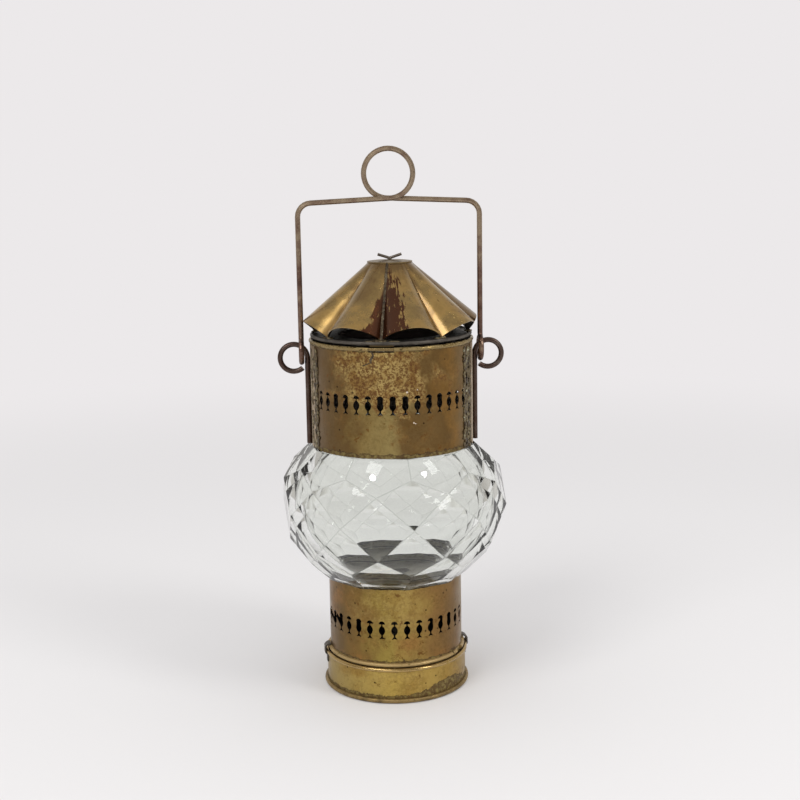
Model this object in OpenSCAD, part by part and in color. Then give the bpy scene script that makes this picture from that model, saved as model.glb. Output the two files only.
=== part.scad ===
// Hanging candle lantern: pierced brass cylinders, a diamond-cut glass globe,
// a fluted cowl on a hinged lid, a wire bail in two ear rings and a twist-off base.
// Millimetres, +Z up. The origin is the centre of the foot on its resting plane,
// the ears lie along X and -Y is the front.

/* [Sheet and wire] */
// Thickness of the brass sheet
sheet_t = 0.6; // [0.4:0.1:0.9]
// Diameter of the iron wire of the bail and the ears
wire_d = 4.2; // [3.6:0.1:4.4]
// Diameter of the rolled beads on the brass rims
bead_d = 3.2; // [2.6:0.1:3.4]

/* [Base] */
// Height of the middle of the base's top bead
base_h = 26.7; // [22:0.1:34]
// How far the foot stands out past the base wall
foot_reach = 2.5; // [1.8:0.1:4]
// Diameter of the wired edge round the foot
foot_wire_d = 3.4; // [2.8:0.1:4]
// Thickness of the tin floor
floor_t = 0.8; // [0.5:0.1:1.5]
// Free width between the tube's spigot and the base wall
spigot_gap = 2.2; // [1.5:0.1:2.6]
// Turn of the two claws from the ear axis
claw_turn = 4.5; // [0:0.5:12]
// Width of a claw along the rim, as an angle
claw_a = 8; // [5:0.5:12]
// Thickness of a claw
claw_t = 0.9; // [0.6:0.1:1.2]
// Angle from locked to the release notches
twist_a = 30; // [20:1:40]

/* [Candle holder] */
// Radius of the candle socket's bore
socket_bore_r = 11.25; // [9:0.05:12.5]
// Wall of the candle socket
socket_wall = 0.9; // [0.6:0.1:1.5]
// Depth of the candle socket
socket_depth = 25; // [18:1:32]
// Gap between the drip pan's edge and the lower tube
pan_gap = 3.6; // [2:0.1:10]
// Height of the drip pan's turned-up edge
pan_lip = 1.6; // [1:0.1:1.8]
// Radius of the stem under the socket
stem_r = 8; // [5:0.5:9]
// Height of the stem's flared foot
stem_foot_h = 4; // [2:0.5:8]
// How far the stem's foot spreads past the stem
stem_foot_w = 7; // [4:0.5:12]

/* [Lower tube] */
// Outer radius of the lower tube
tube_r = 53.7; // [52:0.1:56]
// Height of the lower tube above its bead
tube_h = 62.3; // [56:0.1:72]
// Length of the spigot below the bead
spigot_h = 6; // [4:0.5:10]
// Number of pierced holes round the lower tube
tube_holes = 34; // [24:1:36]
// Height of the lowest point of the hole row above the tube's bead
tube_row_z = 20.9; // [14:0.1:30]

/* [Glass globe] */
// Number of facets round the globe
facets = 10; // [8:2:12]
// Turn of the facets from the front
globe_turn = 6.3; // [0:0.1:18]
// Radius of the widest row of facet corners
globe_r = 91; // [90:0.1:92]
// Height of the globe between its two seats
globe_h = 105.7; // [104:0.1:107]
// Share of the step from cylinder to widest row that the upper row of corners stands out
shoulder_share = 0.6377; // [0.62:0.0001:0.65]
// Height of the widest row of facet corners, as a share of the globe's height
widest_share = 0.534; // [0.52:0.001:0.55]
// Depth of the upper row of facet corners below the upper seat
shoulder_drop = 13.2; // [12.8:0.1:13.6]
// Depth of the next row of facet corners below the upper seat
upper_row_drop = 24.2; // [23.8:0.1:24.6]
// Height of the row of facet corners below the widest one
lower_row_h = 31; // [30.5:0.1:31.5]
// Height of the lowest row of facet corners
foot_row_h = 16; // [15.5:0.1:16.5]
// Thinnest glass wall
glass_wall = 4; // [3:0.1:4.5]
// Length of the necks inside the metal
neck_h = 12; // [9:0.5:14]
// Cement between the glass neck and the metal
cement_t = 1.6; // [1:0.1:2.4]

/* [Upper cylinder] */
// Outer radius of the upper cylinder
drum_r = 63.4; // [62.5:0.1:64.5]
// Height of the upper cylinder to the middle of its bead
drum_h = 83.4; // [80:0.1:88]
// Number of pierced holes round the upper cylinder
drum_holes = 42; // [30:1:44]
// Height of the lowest point of the hole row above the cylinder's bottom
drum_row_z = 33; // [28:0.5:38]
// Height of a pierced hole
hole_h = 15.2; // [13:0.1:16]
// Width of a pierced hole
hole_w = 5.1; // [4:0.1:5.3]
// Half the angle that a side strap covers
strap_a = 17.7; // [14:0.1:20]
// Thickness of a side strap
strap_t = 0.8; // [0.6:0.1:1.2]
// Gap between a strap's upper end and the cylinder's bead
strap_top_gap = 0.2; // [0.1:0.1:2]
// Rounding of a strap's two lower corners
strap_corner_r = 6; // [2:0.5:12]

/* [Ears and bail] */
// Radius of an ear ring to the middle of its wire
ear_ring_r = 10.7; // [10.3:0.1:11.4]
// Height of the ear rings' centre above the upper cylinder's bottom
ear_z = 69.8; // [66:0.1:74]
// Angle of wire left open at the lower end of an ear ring
ear_open = 50; // [46:1:60]
// Clear gap between bail wire and ear wire
link_gap = 0.3; // [0.2:0.05:0.5]
// Height of the bail's bar above the ear rings' centre
bail_h = 120.5; // [116:0.5:140]
// Rise of the bar from its corners to its middle
bar_rise = 2.7; // [0:0.1:5]
// Bend radius of the bail's corners
bail_bend_r = 10.5; // [8:0.5:14]
// Radius of the hanging loop to the middle of its wire
loop_r = 19; // [15:0.5:24]

/* [Lid] */
// Gap between the cylinder's bead and the lid's wired rim
lid_gap = 1.1; // [0.8:0.1:1.6]
// How far the middle of the lid's wired rim lies inside the cylinder's outer face
lid_in = 1.2; // [0.8:0.1:1.8]
// Width of the lid plate round its hot-air opening
plate_w = 20.2; // [14:0.1:28]
// Turn of the lid hinge from the front
hinge_turn = -10; // [-20:0.5:0]
// Length of the hinge knuckle
knuckle_l = 19; // [14:0.5:20]
// Radius of the hinge pin
pin_r = 0.9; // [0.7:0.05:1]
// Running clearance of the knuckle on its pin
pin_clear = 0.06; // [0.03:0.01:0.09]

/* [Cowl] */
// Number of flutes
flutes = 8; // [6:1:10]
// How far the tips of the flutes stand out past the lid's rim wire
cowl_out_w = 7.8; // [6:0.1:8]
// How far the valleys' feet stand inside the middle of the lid's rim wire
cowl_foot_in = 0.8; // [0.4:0.1:2]
// Height of a flute's arch above its feet
arch_h = 10.4; // [7:0.1:12]
// Height of the cowl from its feet to its neck
cowl_h = 53.5; // [46:0.5:62]
// Radius of the cowl's neck
cowl_neck_r = 17.4; // [12:0.1:20]
// Thickness of the cowl's sheet
cowl_t = 0.8; // [0.6:0.1:1]
// Height of the crown cap's dome
cap_dome = 1.2; // [0.8:0.1:3]

/* [Hidden] */
$fn = 96;

bead_r = bead_d / 2;
wire_r = wire_d / 2;
touch = 0.02;          // air between two faces that touch

// Heights, stacked from the foot upwards
spigot_r = tube_r - sheet_t;
base_in_r = tube_r + spigot_gap;
base_r = base_in_r + sheet_t;
base_bead_r = base_r;                      // middle of the base's top bead
foot_wire_r = foot_wire_d / 2;
foot_mid_r = base_r + foot_reach - foot_wire_r;
tube_bead_z = base_h + bead_d;
tube_bead_mid = tube_r + 0.5;
tube_top = tube_bead_z + tube_h;
globe_z = tube_top + touch;
drum_z = globe_z + globe_h + touch;
drum_bead_z = drum_z + drum_h;
rim_z = drum_bead_z + bead_r + lid_gap + bead_r + 0.1;   // middle of the lid's rim wire

// Ears and bail
ear_x = drum_r + strap_t + touch + wire_r;               // middle of the ear's rod
ear_mid_x = ear_x + ear_ring_r;
ear_mid_z = drum_z + ear_z;
leg_x = ear_x + wire_d + link_gap;                       // middle of the bail's leg
leg_in = ear_mid_x - leg_x;
// The eye hangs on the ear's upper wire and clears its open end
eye_top = ear_mid_z + sqrt(pow(ear_ring_r + wire_d + link_gap / 2, 2) - leg_in * leg_in);
ear_end = [ear_mid_x - ear_ring_r * cos(ear_open), ear_mid_z - ear_ring_r * sin(ear_open)];
eye_low = ear_end[1] + wire_d + link_gap;
eye_z = (eye_top + eye_low) / 2;
eye_r = (eye_top - eye_low) / 2;
neck_bend = wire_d;                                      // bend between leg and eye
neck_z = eye_z + sqrt(eye_r * eye_r + 2 * eye_r * neck_bend);
neck_a = atan2(neck_bend, neck_z - eye_z);
bar_z = ear_mid_z + bail_h;

// Lid and hinge
lid_r = drum_r - lid_in;
vent_r = lid_r - plate_w;
cowl_tip_r = lid_r + cowl_out_w;
cowl_foot_r = lid_r - cowl_foot_in;
plate_z = rim_z - sheet_t / 2;
hinge_r = sqrt(drum_r * drum_r - pow(knuckle_l / 2 + 1, 2));
foot_z = rim_z + bead_r + touch;                         // underside of the cowl's valleys
cowl_top = foot_z + cowl_h;
cap_r = cowl_neck_r + 0.3;

brass_dark = "#6b5433";
brass_bright = "#a08a45";
brass_cowl = "#8a6a35";
iron = "#5b403a";
iron_dark = "#4a4440";
tin = "#5a5550";
cement_colour = "#b8b2a4";
glass_colour = [0.85, 0.92, 0.9, 0.4];

// ---------------------------------------------------------------- helpers

// A ring of sheet between two radii, from z0 to z1
module sheet_ring(r_in, r_out, z0, z1) {
    translate([0, 0, z0]) difference() {
        cylinder(r = r_out, h = z1 - z0);
        translate([0, 0, -1]) cylinder(r = r_in, h = z1 - z0 + 2);
    }
}

// A full ring of round wire
module wire_ring(r_mid, r_wire, z) {
    translate([0, 0, z]) rotate_extrude() translate([r_mid, 0]) circle(r = r_wire, $fn = 32);
}

// A profile in (radius, height) swept over an angle that is centred at turn from the front
module arc_about_front(turn, half_a) {
    rotate([0, 0, turn - 90 - half_a]) rotate_extrude(angle = 2 * half_a) children();
}

// A thin core inside two lengths of wire that meet end to end, so that they are one piece
module wire_core() { cylinder(r = wire_r * 0.6, h = 2, center = true, $fn = 32); }

// Moves a shape made at the front, on the -Y side, round the axis
module at_turn(a) { rotate([0, 0, a]) children(); }

// Outline of one pierced hole, foot at the origin: a mushroom cap, a lens and a fish-tail foot.
// The punch left a narrow neck under the cap (0), broke it away (1) or left half of it (2).
module hole_outline(kind) {
    cap_r2 = hole_w / 2;
    foot_h = hole_h * 0.16;
    lens_h = hole_h * 0.53;
    foot_neck = hole_w * 0.26;
    cap_neck = hole_w * (kind == 1 ? 0.84 : kind == 2 ? 0.55 : 0.2);
    neck_x = kind == 2 ? hole_w * 0.16 : 0;
    lens_z = foot_h + hole_h * 0.06;
    cap_z = hole_h - cap_r2 * 1.08;
    lens_bend = (lens_h * lens_h / 4 + cap_r2 * cap_r2) / (2 * cap_r2);
    polygon([
        [-hole_w * 0.46, 0], [0, foot_h * 0.3], [hole_w * 0.46, 0], [foot_neck / 2, foot_h], [-foot_neck / 2, foot_h]
    ]);
    translate([0, lens_z + lens_h / 2]) intersection() {
        translate([lens_bend - cap_r2, 0]) circle(r = lens_bend, $fn = 48);
        translate([cap_r2 - lens_bend, 0]) circle(r = lens_bend, $fn = 48);
    }
    translate([0, cap_z]) intersection() {
        circle(r = cap_r2, $fn = 32);
        translate([-hole_w, 0]) square([2 * hole_w, hole_w]);
    }
    translate([-foot_neck / 2, foot_h / 2]) square([foot_neck, lens_h]);
    translate([neck_x - cap_neck / 2, lens_z + lens_h * 0.62]) square([cap_neck, cap_z + 0.2 - lens_z - lens_h * 0.62]);
}

// Cutters for a row of pierced holes through a wall of radius r
module hole_row(r, z, count, first, kinds) {
    for (i = [0 : count - 1])
        rotate([0, 0, first + i * 360 / count]) translate([0, -r + 3, z]) rotate([90, 0, 0])
            linear_extrude(height = 6) hole_outline(kinds[i % len(kinds)]);
}

// ---------------------------------------------------------------- upper cylinder

drum_hole_turn = -2.75;                             // first hole of the row, from the front
drum_hole_kinds = [
    1, 1, 0, 2, 1, 0, 0, 0, 0, 2, 0, 0, 1, 0, 0, 0, 2, 0, 1, 1, 0,
    0, 0, 2, 0, 0, 1, 0, 0, 0, 0, 1, 0, 0, 0, 0, 0, 1, 2, 0, 0, 1
];

module upper_cylinder() {
    color(brass_dark) difference() {
        union() {
            sheet_ring(drum_r - sheet_t, drum_r, drum_z, drum_bead_z);
            wire_ring(drum_r, bead_r, drum_bead_z);
            // lap seam down the back
            arc_about_front(180, 3) translate([drum_r - sheet_t / 2, drum_z])
                square([sheet_t, drum_h]);
        }
        hole_row(drum_r, drum_z + drum_row_z, drum_holes, drum_hole_turn, drum_hole_kinds);
        at_turn(hinge_turn) {
            // notch for the knuckle and the bore that holds the pin's ends
            translate([-knuckle_l / 2 - 0.3, -drum_r - 5, drum_bead_z - bead_r - 0.8])
                cube([knuckle_l + 0.6, 10, 10]);
            translate([-knuckle_l / 2 - 6, -hinge_r, drum_bead_z]) rotate([0, 90, 0])
                cylinder(r = pin_r + touch, h = knuckle_l + 12);
        }
    }
}

module side_strap(side) {
    color(tin) difference() {
        arc_about_front(side * 90, strap_a)
            translate([drum_r + touch, drum_z]) square([strap_t, drum_h - bead_r - strap_top_gap]);
        for (edge = [-1, 1])
            rotate([0, 0, side * 90 + edge * strap_a]) mirror([edge > 0 ? 1 : 0, 0, 0])
                translate([0, -drum_r + 3, drum_z]) rotate([90, 0, 0]) linear_extrude(height = 8)
                    difference() {
                        translate([-1, -1]) square([strap_corner_r + 1, strap_corner_r + 1]);
                        translate([strap_corner_r, strap_corner_r]) circle(r = strap_corner_r, $fn = 48);
                    }
    }
}

module side_strap_left() { side_strap(-1); }
module side_strap_right() { side_strap(1); }

// ---------------------------------------------------------------- ears

// A straight rod soldered to the strap, and a ring of the same wire left open below
module ear(side) {
    color(iron_dark) mirror([side < 0 ? 1 : 0, 0, 0]) {
        translate([ear_x, 0, drum_z + 1]) cylinder(r = wire_r, h = ear_mid_z - drum_z - 1, $fn = 32);
        translate([ear_x, 0, ear_mid_z]) wire_core();
        translate([ear_mid_x, 0, ear_mid_z]) rotate([90, 0, 0])
            rotate([0, 0, 180 + ear_open]) rotate_extrude(angle = 360 - ear_open)
                translate([ear_ring_r, 0]) circle(r = wire_r, $fn = 32);
    }
}

module ear_left() { ear(-1); }
module ear_right() { ear(1); }

// ---------------------------------------------------------------- bail

// The whole bail is one wire. Its path runs from the left eye up the leg, along the bar, once
// round the hanging loop and down to the right eye. At the crossing it passes in front of itself
// on its way in and behind on its way out.
bar_x = leg_x - bail_bend_r;
bar_side = wire_r + 0.25;
bar_mid_z = bar_z + bar_rise;
loop_steps = 40;
corner_steps = 6;
neck_steps = 3;
eye_steps = 24;
eye_sweep = 312;                                         // the eye's end stops short of its neck
sides = 12;                                              // sides of the wire's section

// Each point is [x, y, z, plane]: plane 0 bends in XZ, 1 and -1 in YZ on the right and the left
right_end = concat(
    [[leg_x, 0, neck_z, 0]],
    [for (i = [1 : neck_steps]) let (a = (neck_a - 90) * i / neck_steps)
        [leg_x, neck_bend * (cos(a) - 1), neck_z + neck_bend * sin(a), 1]],
    [for (i = [1 : eye_steps]) let (a = 90 + neck_a + eye_sweep * i / eye_steps)
        [leg_x, eye_r * cos(a), eye_z + eye_r * sin(a), 1]]
);
right_half = concat(
    [for (i = [0 : corner_steps]) let (a = 90 - 90 * i / corner_steps)
        [bar_x + bail_bend_r * cos(a), 0, bar_z - bail_bend_r + bail_bend_r * sin(a), 0]],
    right_end
);
loop_turns = [for (i = [0 : loop_steps]) let (t = i / loop_steps)
    [loop_r * sin(360 * t), bar_side * (2 * t - 1), bar_mid_z + loop_r * (1 - cos(360 * t)), 0]];
bail_path = concat(
    [for (i = [len(right_half) - 1 : -1 : 0]) let (p = right_half[i]) [-p[0], p[1], p[2], -p[3]]],
    loop_turns, right_half
);

// Faces listed anticlockwise from outside, turned the way polyhedron() wants them
function flipped(faces) = [for (f = faces) [for (k = [len(f) - 1 : -1 : 0]) f[k]]];
function unit(v) = v / norm(v);
function place(p) = [p[0], p[1], p[2]];
function path_dir(path, i) = unit(place(path[min(i + 1, len(path) - 1)]) - place(path[max(i - 1, 0)]));

// A closed tube of round section along a path
module swept_wire(path, r) {
    rings = [for (i = [0 : len(path) - 1])
        let (
            d = path_dir(path, i), plane = path[i][3],
            a = unit(cross(plane == 0 ? [0, 1, 0] : [1, 0, 0], d)), b = cross(d, a)
        )
        for (k = [0 : sides - 1]) let (turn = 360 * k / sides - 90 * plane)
            place(path[i]) + r * (cos(turn) * a + sin(turn) * b)];
    last = (len(path) - 1) * sides;
    walls = [for (i = [0 : len(path) - 2], k = [0 : sides - 1])
        let (n = (k + 1) % sides)
        [i * sides + k, i * sides + n, (i + 1) * sides + n, (i + 1) * sides + k]];
    polyhedron(
        points = rings,
        faces = flipped(concat(
            walls, [[for (k = [sides - 1 : -1 : 0]) k]], [[for (k = [0 : sides - 1]) last + k]]
        )),
        convexity = 6
    );
}

module bail() { color(iron) swept_wire(bail_path, wire_r); }

// ---------------------------------------------------------------- glass globe

// Facet corners as [radius, height above the lower seat]. Each row's radius follows from the
// rows beside it, so that every rhombus is flat.
half_c = cos(180 / facets);
function along(p, q, z) = p[0] + (q[0] - p[0]) * (z - p[1]) / (q[1] - p[1]);
row_a = [drum_r + (globe_r - drum_r) * shoulder_share, globe_h - shoulder_drop];
row_c = [globe_r, globe_h * widest_share];
row_b = [along(row_a, row_c, globe_h - upper_row_drop) / half_c, globe_h - upper_row_drop];
row_d = [along(row_b, [row_c[0] * half_c, row_c[1]], lower_row_h), lower_row_h];
row_e = [along(row_c, [row_d[0] * half_c, row_d[1]], foot_row_h), foot_row_h];
seat_top_r = along(row_b, [row_a[0] * half_c, row_a[1]], globe_h) / half_c;
rim_flat = 1.6;
seat_low_r = along(row_d, [row_e[0] * half_c, row_e[1]], rim_flat) / half_c;

globe_rows = [
    [tube_r - 1, 0, 0], [seat_low_r, rim_flat, 0], [row_e[0], row_e[1], 0], [row_d[0], row_d[1], 0.5],
    [row_c[0], row_c[1], 0], [row_b[0], row_b[1], 0.5], [row_a[0], row_a[1], 0], [seat_top_r, globe_h, 0]
];
globe_points = [for (row = globe_rows, i = [0 : facets - 1])
    let (a = (i + row[2]) * 360 / facets) [row[0] * sin(a), -row[0] * cos(a), row[1]]];
function at(row, i) = row * facets + (i % facets + facets) % facets;
globe_faces = [for (i = [0 : facets - 1]) each [
    [at(0, i), at(0, i + 1), at(1, i + 1), at(1, i)],
    [at(1, i), at(1, i + 1), at(2, i + 1), at(3, i), at(2, i)],
    [at(2, i), at(3, i), at(4, i), at(3, i - 1)],
    [at(3, i), at(4, i + 1), at(5, i), at(4, i)],
    [at(4, i), at(5, i), at(6, i), at(5, i - 1)],
    [at(5, i), at(6, i + 1), at(7, i + 1), at(7, i), at(6, i)]
]];
globe_caps = [[for (i = [facets - 1 : -1 : 0]) at(0, i)], [for (i = [0 : facets - 1]) at(7, i)]];

neck_low_r = tube_r - sheet_t - cement_t;      // outside of the lower neck
neck_top_r = drum_r - sheet_t - cement_t;      // outside of the upper neck
neck_low_in = neck_low_r - glass_wall;
neck_top_in = neck_top_r - glass_wall;
belly_in = globe_r * half_c - glass_wall - 3;
belly_steps = 32;
// Distance of the flats from the axis at height z, midway between their side corners
function flats_r(z) = min(
    along([seat_low_r * half_c, rim_flat], row_d, z), along(row_e, row_c, z), along(row_d, row_b, z),
    along(row_c, row_a, z), along(row_b, [seat_top_r * half_c, globe_h], z)
);
// The blown inside swells smoothly between the necks and leaves the wall its least thickness
function bore_r(t) = min(
    neck_low_in + (neck_top_in - neck_low_in) * t
    + (belly_in - (neck_low_in + neck_top_in) / 2) * pow(sin(180 * pow(t, 0.96)), 0.8),
    flats_r(globe_h * t) - glass_wall
);

module globe_bore() {
    rotate_extrude() polygon(concat(
        [[0, -neck_h - 1], [neck_low_in, -neck_h - 1]],
        [for (i = [0 : belly_steps]) [bore_r(i / belly_steps), globe_h * i / belly_steps]],
        [[neck_top_in, globe_h + neck_h + 1], [0, globe_h + neck_h + 1]]
    ));
}

module glass_globe() {
    color(glass_colour) translate([0, 0, globe_z]) difference() {
        union() {
            at_turn(globe_turn) polyhedron(
                points = globe_points, faces = flipped(concat(globe_faces, globe_caps)), convexity = 4);
            translate([0, 0, -neck_h]) cylinder(r = neck_low_r, h = neck_h + 2);
            translate([0, 0, globe_h - 2]) cylinder(r = neck_top_r, h = neck_h + 2);
        }
        globe_bore();
    }
}

module upper_cement() {
    color(cement_colour)
        sheet_ring(neck_top_r + touch, neck_top_r + cement_t - touch, drum_z, drum_z + neck_h - 2);
}

module lower_cement() {
    color(cement_colour)
        sheet_ring(neck_low_r + touch, neck_low_r + cement_t - touch, tube_top - neck_h + 2, tube_top);
}

// ---------------------------------------------------------------- lower tube

tube_hole_turn = -4.45;                             // first hole of the row, from the front
tube_hole_kinds = [
    0, 0, 0, 2, 2, 1, 0, 0, 0, 1, 0, 2, 0, 0, 1, 0, 0,
    0, 2, 0, 0, 1, 0, 0, 0, 2, 1, 1, 1, 1, 0, 1, 0, 0
];
torn_hole = 26;                                     // the first of the holes that are torn together
web = PI * tube_r / tube_holes - hole_w / 2;        // half the width of metal between two holes
// Outlines of the tears, as shares of that half width and of a hole's height
torn_bars = [
    [[-1.25, 0.33], [1.25, 0.53], [1.4, 0.86], [-0.83, 0.69]],
    [[-1.37, 0.53], [-0.4, 0.43], [1.37, 0.23], [1.37, 0.53], [-1.37, 0.86]],
    [[-1.25, 0.66], [1.25, 0.33], [1.4, 0.69], [-0.62, 0.89]]
];

module lower_tube() {
    color(brass_bright) difference() {
        union() {
            sheet_ring(spigot_r, tube_r, tube_bead_z - spigot_h, tube_top);
            wire_ring(tube_bead_mid, bead_r, tube_bead_z);
            // lap seam down the back, above the bead
            arc_about_front(180, 3) translate([tube_r - sheet_t / 2, tube_bead_z])
                square([sheet_t, tube_h]);
        }
        hole_row(tube_r, tube_bead_z + tube_row_z, tube_holes, tube_hole_turn, tube_hole_kinds);
        // the sheet has torn between four of the holes
        for (i = [0 : 2])
            rotate([0, 0, tube_hole_turn + (torn_hole + i + 0.5) * 360 / tube_holes])
                translate([0, -tube_r + 3, tube_bead_z + tube_row_z]) rotate([90, 0, 0])
                    linear_extrude(height = 6) polygon([for (p = torn_bars[i]) [p[0] * web, p[1] * hole_h]]);
        // release notches for the claws
        for (side = [-1, 1])
            arc_about_front(side * 90 + claw_turn - twist_a, claw_a / 2 + 1.5)
                translate([tube_r, tube_bead_z - bead_d]) square([bead_d * 2, bead_d * 2]);
    }
}

// ---------------------------------------------------------------- base

module base_ring() {
    color(brass_bright) {
        sheet_ring(base_in_r, base_r, foot_wire_r, base_h);
        wire_ring(base_bead_r, bead_r, base_h);
    }
}

module foot_wire() {
    // a wired edge that wraps the foot, with a narrow flange up to the wall
    color(tin) rotate_extrude() difference() {
        union() {
            translate([foot_mid_r, foot_wire_r]) circle(r = foot_wire_r, $fn = 32);
            translate([base_r + touch, foot_wire_r]) square([foot_mid_r - base_r, foot_wire_r * 0.9]);
        }
        translate([base_in_r - 5, -1]) square([base_r + touch - base_in_r + 5, foot_wire_d * 3]);
    }
}

module base_floor() {
    color(tin) {
        cylinder(r = base_in_r - touch, h = floor_t);
        // turned-up edge soldered inside the wall
        sheet_ring(base_in_r - floor_t, base_in_r - touch, 0, foot_wire_r + 4);
    }
}

// A bent strip: up the base wall, out round both beads and in over the tube's bead
bead_out = base_bead_r + bead_r + 0.3;
hook_in = tube_r + 0.6;
hook_z = tube_bead_z + bead_r + 0.5;
claw_inside = [
    [base_r + touch, base_h - 9], [base_r + touch, base_h - bead_r - 1.4], [bead_out, base_h - bead_r * 0.6],
    [bead_out, tube_bead_z - 0.4], [bead_out - 1.2, hook_z - 0.8], [bead_out - 2.6, hook_z], [hook_in, hook_z]
];
claw_outside = [
    [hook_in, hook_z + claw_t], [bead_out - 2.2, hook_z + claw_t], [bead_out - 0.4, hook_z - 0.1],
    [bead_out + claw_t, tube_bead_z + 0.3], [bead_out + claw_t, base_h - bead_r * 0.6 - 0.4],
    [base_r + claw_t, base_h - bead_r - 2.2], [base_r + claw_t, base_h - 9]
];

module claw(side) {
    color(tin) arc_about_front(side * 90 + claw_turn, claw_a / 2)
        polygon(concat(claw_inside, claw_outside));
}

module claw_left() { claw(-1); }
module claw_right() { claw(1); }

// ---------------------------------------------------------------- candle holder

neck_end_z = globe_z - neck_h;
pan_r = spigot_r - pan_gap;
pan_z = neck_end_z - pan_lip - sheet_t - 0.8;       // underside of the pan
socket_z = pan_z + sheet_t - socket_depth;          // bottom of the bore
socket_r = socket_bore_r + socket_wall;
socket_floor = socket_wall;

module candle_stem() {
    color(tin) {
        translate([0, 0, floor_t + touch]) cylinder(r1 = stem_r + stem_foot_w, r2 = stem_r, h = stem_foot_h);
        translate([0, 0, floor_t + stem_foot_h / 2])
            cylinder(r = stem_r, h = socket_z - socket_floor - floor_t - stem_foot_h / 2 - touch);
    }
}

module candle_socket() {
    color(tin) translate([0, 0, socket_z - socket_floor]) difference() {
        cylinder(r = socket_r, h = socket_depth + socket_floor);
        translate([0, 0, socket_floor]) cylinder(r = socket_bore_r, h = socket_depth + 1);
    }
}

module candle_pan() {
    color(tin) {
        sheet_ring(socket_r + touch, pan_r, pan_z, pan_z + sheet_t);
        sheet_ring(pan_r - sheet_t, pan_r, pan_z, pan_z + sheet_t + pan_lip);
    }
}

// ---------------------------------------------------------------- lid

module lid_plate() {
    color(tin) sheet_ring(vent_r, lid_r - bead_r + 0.1, plate_z, plate_z + sheet_t);
}

module lid_rim() {
    color(tin) difference() {
        wire_ring(lid_r, bead_r, rim_z);
        translate([0, 0, plate_z - touch]) cylinder(r = lid_r - bead_r + 0.1 + touch, h = sheet_t + 2 * touch);
    }
}

// The knuckle turns on the pin, and its leaf runs inside the rim wire to the plate
leaf_t = 0.7;
leaf_in = lid_r - bead_r - 0.4;                     // outer face of the leaf's upright
knuckle_r = bead_r;
leaf_side = [
    [hinge_r - knuckle_r * 0.5, drum_bead_z + knuckle_r * 0.5], [leaf_in, drum_bead_z + knuckle_r + 0.3],
    [leaf_in, plate_z - touch], [leaf_in - 8, plate_z - touch], [leaf_in - 8, plate_z - touch - leaf_t],
    [leaf_in - leaf_t, plate_z - touch - leaf_t], [leaf_in - leaf_t, drum_bead_z + knuckle_r - 0.1],
    [hinge_r - knuckle_r * 0.85, drum_bead_z - 0.1]
];

module hinge_leaf() {
    color(tin) at_turn(hinge_turn) difference() {
        union() {
            translate([-knuckle_l / 2, -hinge_r, drum_bead_z]) rotate([0, 90, 0])
                cylinder(r = knuckle_r, h = knuckle_l, $fn = 48);
            translate([knuckle_l / 2 - 0.5, 0, 0]) rotate([90, 0, -90])
                linear_extrude(height = knuckle_l - 1) polygon([for (p = leaf_side) [p[0], p[1]]]);
        }
        translate([-knuckle_l / 2 - 1, -hinge_r, drum_bead_z]) rotate([0, 90, 0])
            cylinder(r = pin_r + pin_clear, h = knuckle_l + 2);
    }
}

module hinge_pin() {
    color(iron_dark) at_turn(hinge_turn)
        translate([-knuckle_l / 2 - 4, -hinge_r, drum_bead_z]) rotate([0, 90, 0])
            cylinder(r = pin_r, h = knuckle_l + 8);
}

// ---------------------------------------------------------------- cowl

// One sheet dressed into flutes: t runs from the rim (0) to the neck (1), s once round
cowl_rings = 7;
steps_per_flute = 12;
cowl_steps = flutes * steps_per_flute;
function flute(s) = pow(abs(sin(180 * s * flutes)), 0.75);
function cowl_out(s, t) =
    let (
        f = flute(s), a = 360 * s,
        foot_to_neck = [cowl_foot_r + (cowl_neck_r - 0.6 - cowl_foot_r) * t, cowl_h * t],
        tip_to_neck = [cowl_tip_r + (cowl_neck_r - cowl_tip_r) * t, arch_h + (cowl_h - arch_h) * t],
        p = foot_to_neck * (1 - f) + tip_to_neck * f
    )
    [p[0] * sin(a), -p[0] * cos(a), foot_z + cowl_t * 0.7 + p[1]];
function cowl_in(s, t) =
    let (p = cowl_out(s, t), a = 360 * s)
    p - cowl_t * [0.68 * sin(a), -0.68 * cos(a), 0.73];
cowl_points = concat(
    [for (j = [0 : cowl_rings], i = [0 : cowl_steps - 1]) cowl_out(i / cowl_steps, j / cowl_rings)],
    [for (j = [0 : cowl_rings], i = [0 : cowl_steps - 1]) cowl_in(i / cowl_steps, j / cowl_rings)]
);
cowl_half = (cowl_rings + 1) * cowl_steps;
function cp(j, i) = j * cowl_steps + i % cowl_steps;
cowl_walls = [for (j = [0 : cowl_rings - 1], i = [0 : cowl_steps - 1]) each [
    [cp(j, i), cp(j, i + 1), cp(j + 1, i + 1)], [cp(j, i), cp(j + 1, i + 1), cp(j + 1, i)],
    [cowl_half + cp(j, i + 1), cowl_half + cp(j, i), cowl_half + cp(j + 1, i + 1)],
    [cowl_half + cp(j + 1, i + 1), cowl_half + cp(j, i), cowl_half + cp(j + 1, i)]
]];
cowl_edges = [for (i = [0 : cowl_steps - 1]) each [
    [cp(0, i + 1), cp(0, i), cowl_half + cp(0, i + 1)],
    [cp(0, i), cowl_half + cp(0, i), cowl_half + cp(0, i + 1)],
    [cp(cowl_rings, i), cp(cowl_rings, i + 1), cowl_half + cp(cowl_rings, i + 1)],
    [cp(cowl_rings, i), cowl_half + cp(cowl_rings, i + 1), cowl_half + cp(cowl_rings, i)]
]];

module cowl() {
    color(brass_cowl) at_turn(hinge_turn)
        polyhedron(points = cowl_points, faces = flipped(concat(cowl_walls, cowl_edges)), convexity = 8);
}

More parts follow.
